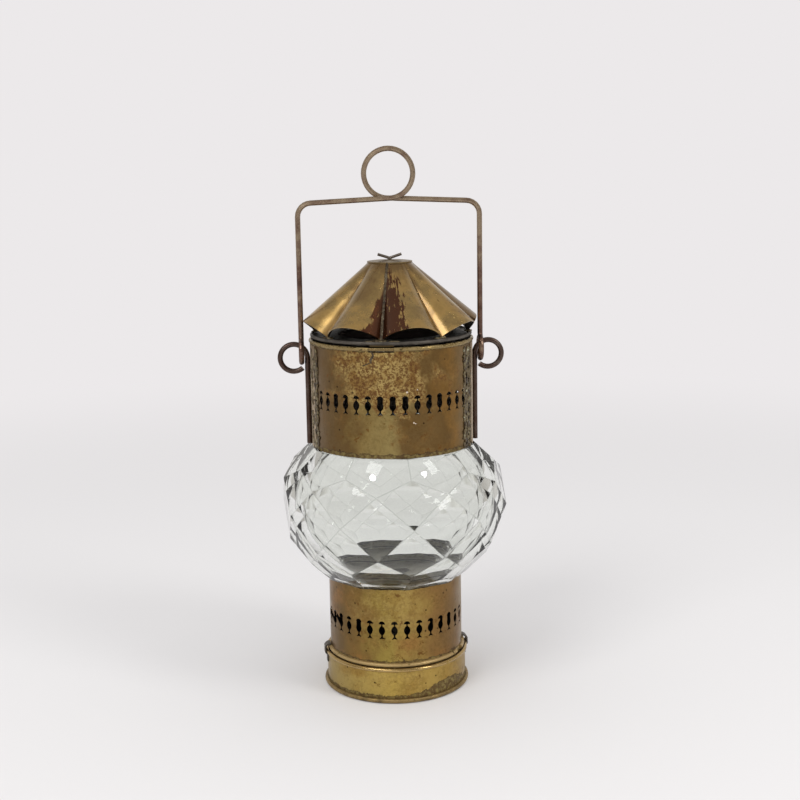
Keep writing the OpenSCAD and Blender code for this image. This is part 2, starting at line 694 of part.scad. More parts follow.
cap_z = cowl_top + cowl_t * 0.7 + touch;            // the cap sits on the cowl's neck
cap_bend_r = (cap_r * cap_r + cap_dome * cap_dome) / (2 * cap_dome);
cap_hole_r = 1.5;
cap_edge = 1;                                     // height of its turned-down edge

module crown_cap() {
    color(brass_cowl) rotate_extrude() {
        translate([cap_hole_r, cap_z]) square([cap_r - cap_hole_r, cap_edge]);
        intersection() {
            translate([0, cap_z + cap_edge + cap_dome - cap_bend_r]) circle(r = cap_bend_r, $fn = 360);
            translate([cap_hole_r, cap_z + cap_edge - touch]) square([cap_r - cap_hole_r, cap_dome + 2]);
        }
    }
}

// Split pin: an eye below, a shank through the cap, and two legs spread on top
pin_shank_r = 1.3;
pin_eye_r = 3.4;
leg_r = 1.1;
leg_tilt = 72;                                      // of the legs, from upright
pin_top = cap_z + cap_edge + cap_dome + leg_r;
module crown_pin() {
    eye_mid = cap_z - 12;
    color(iron_dark) {
        translate([0, 0, eye_mid]) rotate([90, 0, 0]) rotate_extrude()
            translate([pin_eye_r, 0]) circle(r = 0.9, $fn = 24);
        translate([0, 0, eye_mid + pin_eye_r]) cylinder(r = pin_shank_r, h = pin_top - eye_mid - pin_eye_r, $fn = 32);
        for (side = [-1, 1])
            translate([0, 0, pin_top]) rotate([0, side * leg_tilt, 0]) cylinder(r = leg_r, h = 9.8, $fn = 24);
    }
}

// ---------------------------------------------------------------- nodes

upper_cylinder();
side_strap_left();
side_strap_right();
ear_left();
ear_right();
hinge_pin();
upper_cement();
glass_globe();
lower_cement();
lower_tube();
base_ring();
foot_wire();
base_floor();
claw_left();
claw_right();
candle_stem();
candle_socket();
candle_pan();
lid_plate();
lid_rim();
hinge_leaf();
cowl();
crown_cap();
crown_pin();
bail();
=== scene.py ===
"""Looks of the hanging candle lantern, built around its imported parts.

Metres, +Z up, the ears along X and the hinged side towards -Y. Sizes in the sections
below are in millimetres and are turned to metres where a shape is made.
"""

import math
import random

import bmesh
import bpy
from mathutils import Matrix, Vector


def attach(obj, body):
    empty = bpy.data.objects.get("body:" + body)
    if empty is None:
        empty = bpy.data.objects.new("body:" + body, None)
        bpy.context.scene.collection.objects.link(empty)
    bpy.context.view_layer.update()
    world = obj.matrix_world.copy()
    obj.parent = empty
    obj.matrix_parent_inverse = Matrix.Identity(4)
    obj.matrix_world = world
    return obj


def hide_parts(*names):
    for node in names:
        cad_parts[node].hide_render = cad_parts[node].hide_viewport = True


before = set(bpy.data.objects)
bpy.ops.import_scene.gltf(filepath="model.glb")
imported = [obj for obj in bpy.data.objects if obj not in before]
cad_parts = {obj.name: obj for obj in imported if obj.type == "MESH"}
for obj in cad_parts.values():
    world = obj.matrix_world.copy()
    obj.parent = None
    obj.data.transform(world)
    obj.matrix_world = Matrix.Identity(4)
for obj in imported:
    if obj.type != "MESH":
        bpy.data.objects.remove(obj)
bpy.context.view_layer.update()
MM = 0.001


# ------------------------------------------------------------------ studio
# A pale table top that fades, from 0.55 to 1.6 m out from the lantern, into the even pale
# tone that the world shows as the wall. The wall stood about 0.34 m behind the lantern.

def paint(code):
    """An sRGB hex colour as the linear colour that shaders take."""
    parts = [int(code[i:i + 2], 16) / 255 for i in (1, 3, 5)]
    return [p / 12.92 if p <= 0.04045 else ((p + 0.055) / 1.055) ** 2.4 for p in parts] + [1.0]


def add_node(tree, kind, settings=None, links=None):
    """Adds one node. settings are its own fields, with the stops of a colour ramp as places
    and hex colours, and links are its inputs by name or number: a value, or the output
    socket that feeds it."""
    made = tree.nodes.new(kind)
    for field, value in (settings or {}).items():
        if field == "stops":
            while len(made.color_ramp.elements) < len(value):
                made.color_ramp.elements.new(1.0)
            for stop, (place, colour) in zip(made.color_ramp.elements, value):
                stop.position, stop.color = place, paint(colour)
        else:
            setattr(made, field, value)
    for name, value in (links or {}).items():
        if isinstance(value, bpy.types.NodeSocket):
            tree.links.new(value, made.inputs[name])
        else:
            made.inputs[name].default_value = value
    return made


def new_material(name):
    """An empty material and its node tree."""
    made = bpy.data.materials.new(name)
    made.use_nodes = True
    made.node_tree.nodes.clear()
    return made, made.node_tree


def coat(piece, *materials):
    """Gives a piece these materials in place of its own."""
    piece.data.materials.clear()
    for material in materials:
        piece.data.materials.append(material)


WALL_TONE = paint("#ece9ea")
TABLE_ALBEDO = paint("#e8e6e5")
SMOOTH = {"interpolation_type": "SMOOTHSTEP"}
BLEND = {"data_type": "RGBA"}

table_paint, tree = new_material("table_matt_paint")
where = add_node(tree, "ShaderNodeTexCoord").outputs["Object"]
far = add_node(tree, "ShaderNodeVectorMath", {"operation": "LENGTH"}, {0: where})
matt = add_node(tree, "ShaderNodeBsdfDiffuse", links={"Color": TABLE_ALBEDO})
beyond = add_node(tree, "ShaderNodeEmission", links={"Color": WALL_TONE, "Strength": 1.0})
fade = add_node(
    tree, "ShaderNodeMapRange", SMOOTH,
    {"Value": far.outputs["Value"], "From Min": 0.55, "From Max": 1.6},
)
surface = add_node(
    tree, "ShaderNodeMixShader", links={0: fade.outputs[0], 1: matt.outputs[0], 2: beyond.outputs[0]},
)
add_node(tree, "ShaderNodeOutputMaterial", links={"Surface": surface.outputs[0]})

bpy.ops.object.select_all(action="DESELECT")
bpy.ops.mesh.primitive_plane_add(size=16, location=(0, 0, -0.0003))
table_top = bpy.context.object
table_top.name = "table_top"
coat(table_top, table_paint)

world = bpy.data.worlds.new("studio")
bpy.context.scene.world = world
world.use_nodes = True
tree = world.node_tree
tree.nodes.clear()
ray = add_node(tree, "ShaderNodeLightPath")
seen = add_node(
    tree, "ShaderNodeMath", {"operation": "MAXIMUM"},
    {0: ray.outputs["Is Camera Ray"], 1: ray.outputs["Is Transmission Ray"]},
)
direction = add_node(tree, "ShaderNodeTexCoord").outputs["Generated"]
heading = add_node(tree, "ShaderNodeSeparateXYZ", links={0: direction})
towards = add_node(tree, "ShaderNodeMath", {"operation": "MULTIPLY"}, {0: heading.outputs["Y"], 1: -1.0})
round_about = add_node(
    tree, "ShaderNodeMath", {"operation": "ARCTAN2"}, {0: heading.outputs["X"], 1: towards.outputs[0]},
)
turn = add_node(
    tree, "ShaderNodeMapRange",
    links={"Value": round_about.outputs[0], "From Min": -math.pi, "From Max": math.pi},
)
# what metal mirrors: pale walls with two windows and dimmer furniture between them
room = add_node(
    tree, "ShaderNodeValToRGB",
    {"stops": [
        (0.00, "#e8e5e2"), (0.22, "#d6d2cd"), (0.30, "#9c968e"), (0.39, "#8b857d"),
        (0.445, "#f2efec"), (0.475, "#f4f1ee"), (0.53, "#948d84"), (0.61, "#8f8880"),
        (0.645, "#f0ede9"), (0.68, "#e2deda"), (0.74, "#a59f97"), (0.80, "#d8d4cf"),
        (1.00, "#e8e5e2"),
    ]},
    {0: turn.outputs[0]},
)
overhead = add_node(
    tree, "ShaderNodeMapRange", SMOOTH,
    {"Value": heading.outputs["Z"], "From Min": 0.35, "From Max": 0.8},
)
mirrored = add_node(
    tree, "ShaderNodeMix", BLEND, {0: overhead.outputs[0], 6: room.outputs[0], 7: paint("#c8c3bc")},
)
even = add_node(
    tree, "ShaderNodeMix", BLEND,
    {0: ray.outputs["Is Diffuse Ray"], 6: mirrored.outputs[2], 7: paint("#ebebed")},
)
# straight behind is the wall, and what the glass bends to the sides is the dimmer room
ahead = add_node(
    tree, "ShaderNodeMapRange", SMOOTH,
    {"Value": heading.outputs["Y"], "From Min": 0.35, "From Max": 0.80},
)
wall_share = add_node(
    tree, "ShaderNodeMath", {"operation": "MAXIMUM"},
    {0: ahead.outputs[0], 1: ray.outputs["Is Camera Ray"]},
)
aslant = add_node(
    tree, "ShaderNodeMapRange", links={"Value": heading.outputs["X"], "From Min": -0.5, "From Max": 0.5},
)
wall_lit = add_node(
    tree, "ShaderNodeValToRGB",
    {"stops": [(0.0, "#b9b5b0"), (0.3, "#dfdcda"), (0.46, "#f2f0f0"), (0.62, "#d2cfcc"),
               (0.8, "#e9e6e4"), (1.0, "#c4c0bb")]},
    {0: aslant.outputs[0]},
)
wall_tone = add_node(
    tree, "ShaderNodeMix", BLEND,
    {0: ray.outputs["Is Camera Ray"], 6: wall_lit.outputs[0], 7: WALL_TONE},
)
dim_room = add_node(
    tree, "ShaderNodeMix", BLEND, {0: 0.4, 6: mirrored.outputs[2], 7: paint("#5b5147")},
)
behind = add_node(
    tree, "ShaderNodeMix", BLEND,
    {0: wall_share.outputs[0], 6: dim_room.outputs[2], 7: wall_tone.outputs[2]},
)
backdrop = add_node(tree, "ShaderNodeBackground", links={"Color": behind.outputs[2], "Strength": 1.0})
glow = add_node(tree, "ShaderNodeBackground", links={"Color": even.outputs[2], "Strength": 0.95})
both = add_node(
    tree, "ShaderNodeMixShader", links={0: seen.outputs[0], 1: glow.outputs[0], 2: backdrop.outputs[0]},
)
add_node(tree, "ShaderNodeOutputWorld", links={"Surface": both.outputs[0]})


AIM_Z = 0.2


def add_lamp(name, place, width, height, watts, shape="RECTANGLE"):
    """An area lamp that points at the middle of the lantern."""
    lamp = bpy.data.lights.new(name, "AREA")
    lamp.shape = shape
    lamp.size, lamp.size_y, lamp.energy = width, height, watts
    holder = bpy.data.objects.new(name, lamp)
    bpy.context.scene.collection.objects.link(holder)
    holder.location = place
    holder.rotation_euler = (Vector((0, 0, AIM_Z)) - Vector(place)).to_track_quat("-Z", "Y").to_euler()


add_lamp("softbox_left", (-1.0, -1.25, 1.75), 0.9, 0.9, 14)
add_lamp("softbox_right", (1.2, -0.9, 1.35), 0.5, 0.9, 8)
# small ceiling lamps that show as round glints in the flats of the glass
add_lamp("ceiling_lamp_middle", (-0.416, -0.412, 2.117), 0.014, 0.014, 0.15, "ELLIPSE")
add_lamp("ceiling_lamp_right", (1.044, -0.064, 1.905), 0.012, 0.012, 0.12, "ELLIPSE")
add_lamp("ceiling_lamp_left", (-0.853, -0.814, 1.847), 0.016, 0.010, 0.1, "ELLIPSE")

camera = bpy.data.cameras.new("camera")
camera.lens, camera.sensor_width = 59.40, 36
HEADING, LOOK_DOWN, LEAN = -3.5, 10.27, -0.937
stand = bpy.data.objects.new("camera", camera)
bpy.context.scene.collection.objects.link(stand)
bpy.context.scene.camera = stand
stand.location = (-0.0569, -1.0340, 0.4193)
stand.rotation_euler = (
    Matrix.Rotation(math.radians(HEADING), 3, "Z")
    @ Matrix.Rotation(math.radians(90 - LOOK_DOWN), 3, "X")
    @ Matrix.Rotation(math.radians(LEAN), 3, "Z")
).to_euler()
bpy.context.scene.view_settings.view_transform = "Standard"


# ------------------------------------------------------------------ brass cylinders
# Rolled from sheet brass with beaded rims and pierced rows, then never polished again:
# brown and olive patina in bands and patches, grainy tarnish, pinholes, and soot inside.
# The upright light and dark bands round each piece are partly painted reflection and
# painted shade, and so is the dark crust just under each top edge.

def aged_brass(
    name, tones, cloud, soot_r, low_z, high_z, bead_z, bead="#b59a68", grain_share=0.5, damp_mm=0.0,
):
    """Unpolished sheet brass. Gives a satin metal whose tone changes round the piece, with
    grainy tarnish, pinholes, crusted edges and a black inside below soot_r. tones run from
    the back (0) over the left, the front (0.5) and the right to the back again; besides the
    patina they hold painted light, a painted reflection where they are lighter at the front
    and painted shade where they darken towards the sides. The crust just below high_z is
    partly painted shade."""
    made, tree = new_material(name)
    where = add_node(tree, "ShaderNodeTexCoord").outputs["Object"]
    split = add_node(tree, "ShaderNodeSeparateXYZ", links={0: where})
    height = split.outputs["Z"]
    front = add_node(tree, "ShaderNodeMath", {"operation": "MULTIPLY"}, {0: split.outputs["Y"], 1: -1.0})
    angle = add_node(
        tree, "ShaderNodeMath", {"operation": "ARCTAN2"}, {0: split.outputs["X"], 1: front.outputs[0]},
    )
    turn = add_node(
        tree, "ShaderNodeMath", {"operation": "MULTIPLY_ADD"},
        {0: angle.outputs[0], 1: 0.5 / math.pi, 2: 0.5},
    ).outputs[0]

    # the patterns on the sheet: grain size in mm, detail and roughness of each
    patterns = {
        "drift": (22, 3.0, 0.6), "clouds": (30, 5.0, 0.6), "mottling": (2.4, 6.0, 0.75),
        "mottled parts": (16, 4.0, 0.6), "grain's side": (14, 4.0, 0.7), "grain's foot": (11, 4.0, 0.7),
        "grainy parts": (18, 4.0, 0.65), "speckle": (2.0, 7.0, 0.78), "scouring": (9, 4.0, 0.6),
        "flecks": (8, 5.0, 0.75), "torn border": (6, 6.0, 0.75), "crust_and_painted_shade": (2.6, 5.0, 0.7),
        "shine": (12, 4.0, 0.6), "dents": (26, 2.0, 0.4),
    }
    noise = {}
    for use, (size_mm, detail, roughness) in patterns.items():
        links = {"Vector": where, "Scale": 1000 / size_mm, "Detail": detail, "Roughness": roughness}
        noise[use] = add_node(tree, "ShaderNodeTexNoise", links=links).outputs[0]

    # where a pattern starts to show and where it is full, then its least and greatest share
    limits = {
        "clouds": (0.50, 0.70, 0.0, 0.8), "mottling": (0.42, 0.60, 0.0, 1.0),
        "mottled parts": (0.35, 0.60, 0.05, 0.32), "speckle": (0.47, 0.53, 0.0, 1.0),
        "scouring": (0.45, 0.60, 0.0, 1.0), "flecks": (0.61, 0.65, 0.0, 0.8),
        "crust_and_painted_shade": (0.44, 0.60, 0.0, 1.0), "shine": (0.3, 0.7, 0.27, 0.40),
    }
    shown = {}
    for use, (start, full, least, most) in limits.items():
        links = {"Value": noise[use], "From Min": start, "From Max": full, "To Min": least, "To Max": most}
        shown[use] = add_node(tree, "ShaderNodeMapRange", SMOOTH, links).outputs[0]

    # painted light: the tones round the piece carry a painted reflection where they are lighter at the
    # front and painted shade where they darken towards the sides
    drift = add_node(
        tree, "ShaderNodeMath", {"operation": "MULTIPLY_ADD"}, {0: noise["drift"], 1: 0.12, 2: -0.06},
    )
    drifted = add_node(tree, "ShaderNodeMath", {"operation": "ADD"}, {0: turn, 1: drift.outputs[0]})
    tone = add_node(tree, "ShaderNodeValToRGB", {"stops": tones}, {0: drifted.outputs[0]}).outputs[0]
    mottling = add_node(
        tree, "ShaderNodeMath", {"operation": "MULTIPLY"},
        {0: shown["mottling"], 1: shown["mottled parts"]},
    ).outputs[0]

    # grainy tarnish, about 1.5 mm, mostly on the upper half and left of the front
    strayed = add_node(
        tree, "ShaderNodeMath", {"operation": "MULTIPLY_ADD"},
        {0: noise["grain's side"], 1: 0.16, 2: -0.08},
    )
    place = add_node(tree, "ShaderNodeMath", {"operation": "ADD"}, {0: turn, 1: strayed.outputs[0]})
    off_middle = add_node(tree, "ShaderNodeMath", {"operation": "SUBTRACT"}, {0: place.outputs[0], 1: 0.47})
    away = add_node(tree, "ShaderNodeMath", {"operation": "ABSOLUTE"}, {0: off_middle.outputs[0]})
    beside = add_node(
        tree, "ShaderNodeMapRange", SMOOTH,
        {"Value": away.outputs[0], "From Min": 0.02, "From Max": 0.13, "To Min": 1.0, "To Max": 0.0},
    )
    uneven = add_node(
        tree, "ShaderNodeMath", {"operation": "MULTIPLY_ADD"},
        {0: noise["grain's foot"], 1: 0.05, 2: -0.025},
    )
    ragged = add_node(tree, "ShaderNodeMath", {"operation": "ADD"}, {0: height, 1: uneven.outputs[0]})
    upper = add_node(
        tree, "ShaderNodeMapRange", SMOOTH,
        {"Value": ragged.outputs[0], "From Min": (low_z * 0.62 + high_z * 0.38) * MM,
         "From Max": (low_z * 0.45 + high_z * 0.55) * MM},
    )
    middle = add_node(
        tree, "ShaderNodeMath", {"operation": "MULTIPLY"}, {0: beside.outputs[0], 1: upper.outputs[0]},
    )
    gathered = add_node(
        tree, "ShaderNodeMath", {"operation": "MULTIPLY_ADD"},
        {0: middle.outputs[0], 1: 0.38, 2: noise["grainy parts"]},
    )
    zone = add_node(
        tree, "ShaderNodeMapRange", SMOOTH,
        {"Value": gathered.outputs[0], "From Min": 0.52, "From Max": 0.78, "To Max": grain_share},
    ).outputs[0]
    scoured_share = add_node(tree, "ShaderNodeMath", {"operation": "MULTIPLY"}, {0: zone, 1: 0.7})
    scoured = add_node(
        tree, "ShaderNodeMix", BLEND, {0: shown["scouring"], 6: paint("#c2a768"), 7: paint("#94713d")},
    )
    grain = add_node(tree, "ShaderNodeMath", {"operation": "MULTIPLY"},
                     {0: zone, 1: shown["speckle"]}).outputs[0]
    grain_dark = add_node(tree, "ShaderNodeMath", {"operation": "MULTIPLY"}, {0: grain, 1: 0.9})

    # dark pinholes, in three of five cells about 8 mm wide
    cells = add_node(tree, "ShaderNodeTexVoronoi", links={"Vector": where, "Scale": 1000 / 8})
    kept = add_node(tree, "ShaderNodeSeparateColor", links={0: cells.outputs["Color"]})
    pricked = add_node(tree, "ShaderNodeMath", {"operation": "GREATER_THAN"}, {0: kept.outputs[0], 1: 0.4})
    hole = add_node(
        tree, "ShaderNodeMapRange", SMOOTH,
        {"Value": cells.outputs["Distance"], "From Min": 0.07, "From Max": 0.12, "To Min": 0.9,
         "To Max": 0.0},
    )
    pinholes = add_node(
        tree, "ShaderNodeMath", {"operation": "MULTIPLY"}, {0: hole.outputs[0], 1: pricked.outputs[0]},
    )

    # crust along both edges, rising where damp stood at the front right: a dark torn border
    # round a mottled brown and green. Along the top edge, just below high_z, it is partly
    # painted shade: the dark line under the bead, the next rim or the glass that sits above.
    off_damp = add_node(tree, "ShaderNodeMath", {"operation": "SUBTRACT"}, {0: turn, 1: 0.62})
    from_damp = add_node(tree, "ShaderNodeMath", {"operation": "ABSOLUTE"}, {0: off_damp.outputs[0]})
    rise = add_node(
        tree, "ShaderNodeMapRange", SMOOTH,
        {"Value": from_damp.outputs[0], "From Min": 0.0, "From Max": 0.11, "To Min": damp_mm * MM,
         "To Max": 0.0},
    )
    risen = add_node(tree, "ShaderNodeMath", {"operation": "SUBTRACT"}, {0: height, 1: rise.outputs[0]})
    low_edge = add_node(
        tree, "ShaderNodeMapRange", SMOOTH,
        {"Value": risen.outputs[0], "From Min": low_z * MM, "From Max": (low_z + 6.0) * MM,
         "To Min": 1.0, "To Max": 0.0},
    )
    # painted shade: a dark band just below the top edge, broken by the torn border, stands in for the
    # shadow under the bead, rim or glass above it
    crust_and_shade_under_rim = add_node(
        tree, "ShaderNodeMapRange", SMOOTH,
        {"Value": height, "From Min": (high_z - 1.8) * MM, "From Max": (high_z - 0.4) * MM,
         "To Min": 0.0, "To Max": 0.47},
    )
    edge = add_node(
        tree, "ShaderNodeMath", {"operation": "MAXIMUM"}, {0: low_edge.outputs[0], 1: crust_and_shade_under_rim.outputs[0]},
    )
    torn = add_node(
        tree, "ShaderNodeMath", {"operation": "MULTIPLY_ADD"}, {0: noise["torn border"], 1: 2.2, 2: -0.6},
    )
    depth = add_node(tree, "ShaderNodeMath", {"operation": "ADD"}, {0: edge.outputs[0], 1: torn.outputs[0]})
    crust_and_painted_shade = add_node(
        tree, "ShaderNodeMapRange", SMOOTH,
        {"Value": depth.outputs[0], "From Min": 0.90, "From Max": 0.97, "To Min": 0.0, "To Max": 0.9},
    ).outputs[0]
    past_border = add_node(
        tree, "ShaderNodeMapRange", SMOOTH, {"Value": depth.outputs[0], "From Min": 0.98, "From Max": 1.12},
    )
    mottled = add_node(
        tree, "ShaderNodeMix", BLEND, {0: shown["crust_and_painted_shade"], 6: paint("#553f1e"), 7: paint("#857543")},
    )
    crust_and_shade_tone = add_node(
        tree, "ShaderNodeMix", BLEND,
        {0: past_border.outputs[0], 6: paint("#3a270f"), 7: mottled.outputs[2]},
    )

    # the rolled bead, rubbed clean where no crust covers it, and the sooted inside
    off_bead = add_node(tree, "ShaderNodeMath", {"operation": "SUBTRACT"}, {0: height, 1: bead_z * MM})
    from_bead = add_node(tree, "ShaderNodeMath", {"operation": "ABSOLUTE"}, {0: off_bead.outputs[0]})
    on_bead = add_node(
        tree, "ShaderNodeMath", {"operation": "LESS_THAN"}, {0: from_bead.outputs[0], 1: 1.7 * MM},
    )
    uncovered = add_node(
        tree, "ShaderNodeMapRange", SMOOTH, {"Value": torn.outputs[0], "From Min": 0.78, "From Max": 0.68},
    )
    clean_bead = add_node(
        tree, "ShaderNodeMath", {"operation": "MULTIPLY"}, {0: on_bead.outputs[0], 1: uncovered.outputs[0]},
    ).outputs[0]
    bead_share = add_node(tree, "ShaderNodeMath", {"operation": "MULTIPLY"}, {0: clean_bead, 1: 0.85})
    flat = add_node(tree, "ShaderNodeVectorMath", {"operation": "MULTIPLY"}, {0: where, 1: (1, 1, 0)})
    radius = add_node(tree, "ShaderNodeVectorMath", {"operation": "LENGTH"}, {0: flat.outputs[0]})
    inside = add_node(
        tree, "ShaderNodeMath", {"operation": "LESS_THAN"}, {0: radius.outputs["Value"], 1: soot_r * MM},
    ).outputs[0]

    # one layer over the other: how much of it shows, and its colour
    layers = [
        (shown["clouds"], paint(cloud)),
        (mottling, paint("#54401f")),
        (scoured_share.outputs[0], scoured.outputs[2]),
        (grain_dark.outputs[0], paint("#5f3c17")),
        (shown["flecks"], paint("#6a4720")),
        (pinholes.outputs[0], paint("#33240f")),
        (crust_and_painted_shade, crust_and_shade_tone.outputs[2]),
        (bead_share.outputs[0], paint(bead)),
        (inside, paint("#221811")),
    ]
    for share, colour in layers:
        tone = add_node(tree, "ShaderNodeMix", BLEND, {0: share, 6: tone, 7: colour}).outputs[2]

    # dull under grain, crust, the painted shade under the top edge and soot, and brighter on the clean bead
    grain_dirt = add_node(tree, "ShaderNodeMath", {"operation": "MULTIPLY"}, {0: grain, 1: 0.6})
    dirt_and_painted_shade = add_node(
        tree, "ShaderNodeMath", {"operation": "MAXIMUM"}, {0: grain_dirt.outputs[0], 1: crust_and_painted_shade},
    ).outputs[0]
    dulled = add_node(
        tree, "ShaderNodeMath", {"operation": "MULTIPLY_ADD"}, {0: dirt_and_painted_shade, 1: 0.25, 2: shown["shine"]},
    )
    rubbed = add_node(
        tree, "ShaderNodeMath", {"operation": "MULTIPLY_ADD"},
        {0: clean_bead, 1: -0.14, 2: dulled.outputs[0]},
    )
    soot_rough = add_node(tree, "ShaderNodeMath", {"operation": "MULTIPLY"}, {0: inside, 1: 0.8})
    rough = add_node(
        tree, "ShaderNodeMath", {"operation": "MAXIMUM"}, {0: rubbed.outputs[0], 1: soot_rough.outputs[0]},
    )
    bare_metal = add_node(
        tree, "ShaderNodeMath", {"operation": "MULTIPLY_ADD"}, {0: dirt_and_painted_shade, 1: -0.5, 2: 0.94},
    )
    metal = add_node(
        tree, "ShaderNodeMath", {"operation": "SUBTRACT"},
        {0: bare_metal.outputs[0], 1: inside},
    )

    # hand-worked sheet: shallow dents, faint lines round it from rolling, and a fine tooth
    round_lines = add_node(
        tree, "ShaderNodeMapping", {"vector_type": "POINT"}, {"Vector": where, "Scale": (0.05, 0.05, 1)},
    )
    lines = add_node(
        tree, "ShaderNodeTexNoise",
        links={"Vector": round_lines.outputs[0], "Scale": 1000 / 1.4, "Detail": 3.0, "Roughness": 0.7},
    )
    dented = add_node(
        tree, "ShaderNodeBump", links={"Height": noise["dents"], "Strength": 1.0, "Distance": 0.9 * MM},
    )
    lined = add_node(
        tree, "ShaderNodeBump",
        links={"Height": lines.outputs[0], "Strength": 0.35, "Distance": 0.05 * MM,
               "Normal": dented.outputs[0]},
    )
    soiled_and_shaded = add_node(tree, "ShaderNodeMath", {"operation": "MAXIMUM"}, {0: zone, 1: crust_and_painted_shade})
    tooth = add_node(
        tree, "ShaderNodeMath", {"operation": "MULTIPLY"}, {0: noise["speckle"], 1: soiled_and_shaded.outputs[0]},
    )
    toothed = add_node(
        tree, "ShaderNodeBump",
        links={"Height": tooth.outputs[0], "Strength": 0.7, "Distance": 0.16 * MM,
               "Normal": lined.outputs[0]},
    )
    shader = add_node(
        tree, "ShaderNodeBsdfPrincipled",
        links={"Base Color": tone, "Roughness": rough.outputs[0], "Metallic": metal.outputs[0],
               "Normal": toothed.outputs[0]},
    )
    add_node(tree, "ShaderNodeOutputMaterial", links={"Surface": shader.outputs[0]})
    return made


DRUM_R, DRUM_Z, DRUM_BEAD_Z = 63.4, 197.94, 281.34
SOOT_DEPTH = 0.35
# the drum's tones: patina, with a painted reflection in the light band just left of the front and painted
# shade on the darker sides
drum_brass = aged_brass(
    "patinated_sheet_brass",
    tones=[(0.00, "#786040"), (0.16, "#705632"), (0.33, "#6b5535"), (0.40, "#6c5533"), (0.43, "#8d7848"),
           (0.485, "#968453"), (0.52, "#735b37"), (0.585, "#6d5430"), (0.615, "#876534"), (0.65, "#765e37"),
           (0.80, "#7f6a41"), (1.00, "#786040")],
    cloud="#6b5029", soot_r=DRUM_R - SOOT_DEPTH, low_z=DRUM_Z, high_z=DRUM_BEAD_Z - 1.5, bead_z=DRUM_BEAD_Z,
    bead="#927e52", grain_share=1.0,
)
coat(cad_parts["upper_cylinder"], drum_brass)

TUBE_R, TUBE_BEAD_Z, TUBE_TOP = 53.7, 29.9, 92.2
# the tube's tones: patina, with a painted reflection in the light band at the front and painted shade on
# the darker left and right
tube_brass = aged_brass(
    "yellow_sheet_brass",
    tones=[(0.00, "#93773f"), (0.20, "#7c6238"), (0.34, "#705936"), (0.41, "#826739"), (0.46, "#9f8a46"),
           (0.52, "#a68c4b"), (0.59, "#8b6b3e"), (0.66, "#7a5e38"), (0.80, "#9c8348"), (1.00, "#93773f")],
    cloud="#9a6f3e", soot_r=TUBE_R - SOOT_DEPTH, low_z=TUBE_BEAD_Z, high_z=TUBE_TOP, bead_z=TUBE_BEAD_Z,
    grain_share=0.3,
)
coat(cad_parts["lower_tube"], tube_brass)

BASE_R, BASE_BEAD_Z = 56.5, 26.7
# the base's tones: patina, with a painted reflection where they are lightest at the front
base_brass = aged_brass(
    "worn_sheet_brass",
    tones=[(0.00, "#a1864a"), (0.20, "#98804b"), (0.36, "#ad965a"), (0.48, "#bfa355"), (0.56, "#b99c55"),
           (0.66, "#a88c4e"), (0.80, "#a78d50"), (1.00, "#a1864a")],
    cloud="#a3813f", soot_r=BASE_R - SOOT_DEPTH, low_z=2.5, high_z=30, bead_z=BASE_BEAD_Z,
    grain_share=0.2, damp_mm=8,
)
coat(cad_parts["base_ring"], base_brass)

knuckle_brass = aged_brass(
    "knuckle_brass", tones=[(0.0, "#7a6340"), (0.5, "#7d6a48"), (1.0, "#7a6340")],
    cloud="#5f4c2d", soot_r=0, low_z=0, high_z=400, bead_z=DRUM_BEAD_Z, bead="#7e6c49", grain_share=0.0,
)
coat(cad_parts["hinge_leaf"], knuckle_brass)


# ------------------------------------------------------------------ iron wire
# Bail, ears, hinge pin and split pin are black iron wire, bent cold. Handling and damp
# have left brown rust with a grey shine on the proud side.

def rusted_iron(name, rust, bare, worn_z):
    """Drawn iron wire under thin rust: a dull red-brown skin, worn to grey-brown metal in
    streaks, and most of all above worn_z where hands hold it."""
    made, tree = new_material(name)
    where = add_node(tree, "ShaderNodeTexCoord").outputs["Object"]
    split = add_node(tree, "ShaderNodeSeparateXYZ", links={0: where})
    skin = add_node(
        tree, "ShaderNodeTexNoise",
        links={"Vector": where, "Scale": 1000 / 20, "Detail": 7.0, "Roughness": 0.7},
    )
    held = add_node(
        tree, "ShaderNodeMapRange", SMOOTH,
        {"Value": split.outputs["Z"], "From Min": (worn_z - 25) * MM, "From Max": (worn_z + 25) * MM,
         "To Min": 0.12, "To Max": 0.28},
    )
    worn = add_node(
        tree, "ShaderNodeMath", {"operation": "MULTIPLY_ADD"},
        {0: skin.outputs[0], 1: 0.6, 2: held.outputs[0]},
    )
    tone = add_node(
        tree, "ShaderNodeValToRGB",
        {"stops": [(0.34, "#46332b"), (0.45, rust), (0.56, bare), (0.68, rust)]},
        {0: worn.outputs[0]},
    )
    pits = add_node(
        tree, "ShaderNodeTexNoise",
        links={"Vector": where, "Scale": 1000 / 1.3, "Detail": 4.0, "Roughness": 0.7},
    )
    rough = add_node(
        tree, "ShaderNodeMapRange",
        links={"Value": pits.outputs[0], "From Min": 0.3, "From Max": 0.7, "To Min": 0.20, "To Max": 0.42},
    )
    pitted = add_node(
        tree, "ShaderNodeBump", links={"Height": pits.outputs[0], "Strength": 0.4, "Distance": 0.12 * MM},
    )
    shader = add_node(
        tree, "ShaderNodeBsdfPrincipled",
        links={"Base Color": tone.outputs[0], "Metallic": 0.85, "Roughness": rough.outputs[0],
               "Normal": pitted.outputs[0]},
    )
    add_node(tree, "ShaderNodeOutputMaterial", links={"Surface": shader.outputs[0]})
    return made


bail_iron = rusted_iron("rusted_iron_wire", rust="#6e564a", bare="#998872", worn_z=350)
ear_iron = rusted_iron("black_iron_wire", rust="#54463f", bare="#766e66", worn_z=300)
coat(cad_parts["bail"], bail_iron)
for part in ("ear_left", "ear_right", "hinge_pin", "crown_pin"):
    coat(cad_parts[part], ear_iron)


# ------------------------------------------------------------------ tinned sheet
# Straps, lid plate, rims, claws, floor and candle holder are tinned iron sheet, gone grey
# and brown with smears of solder.

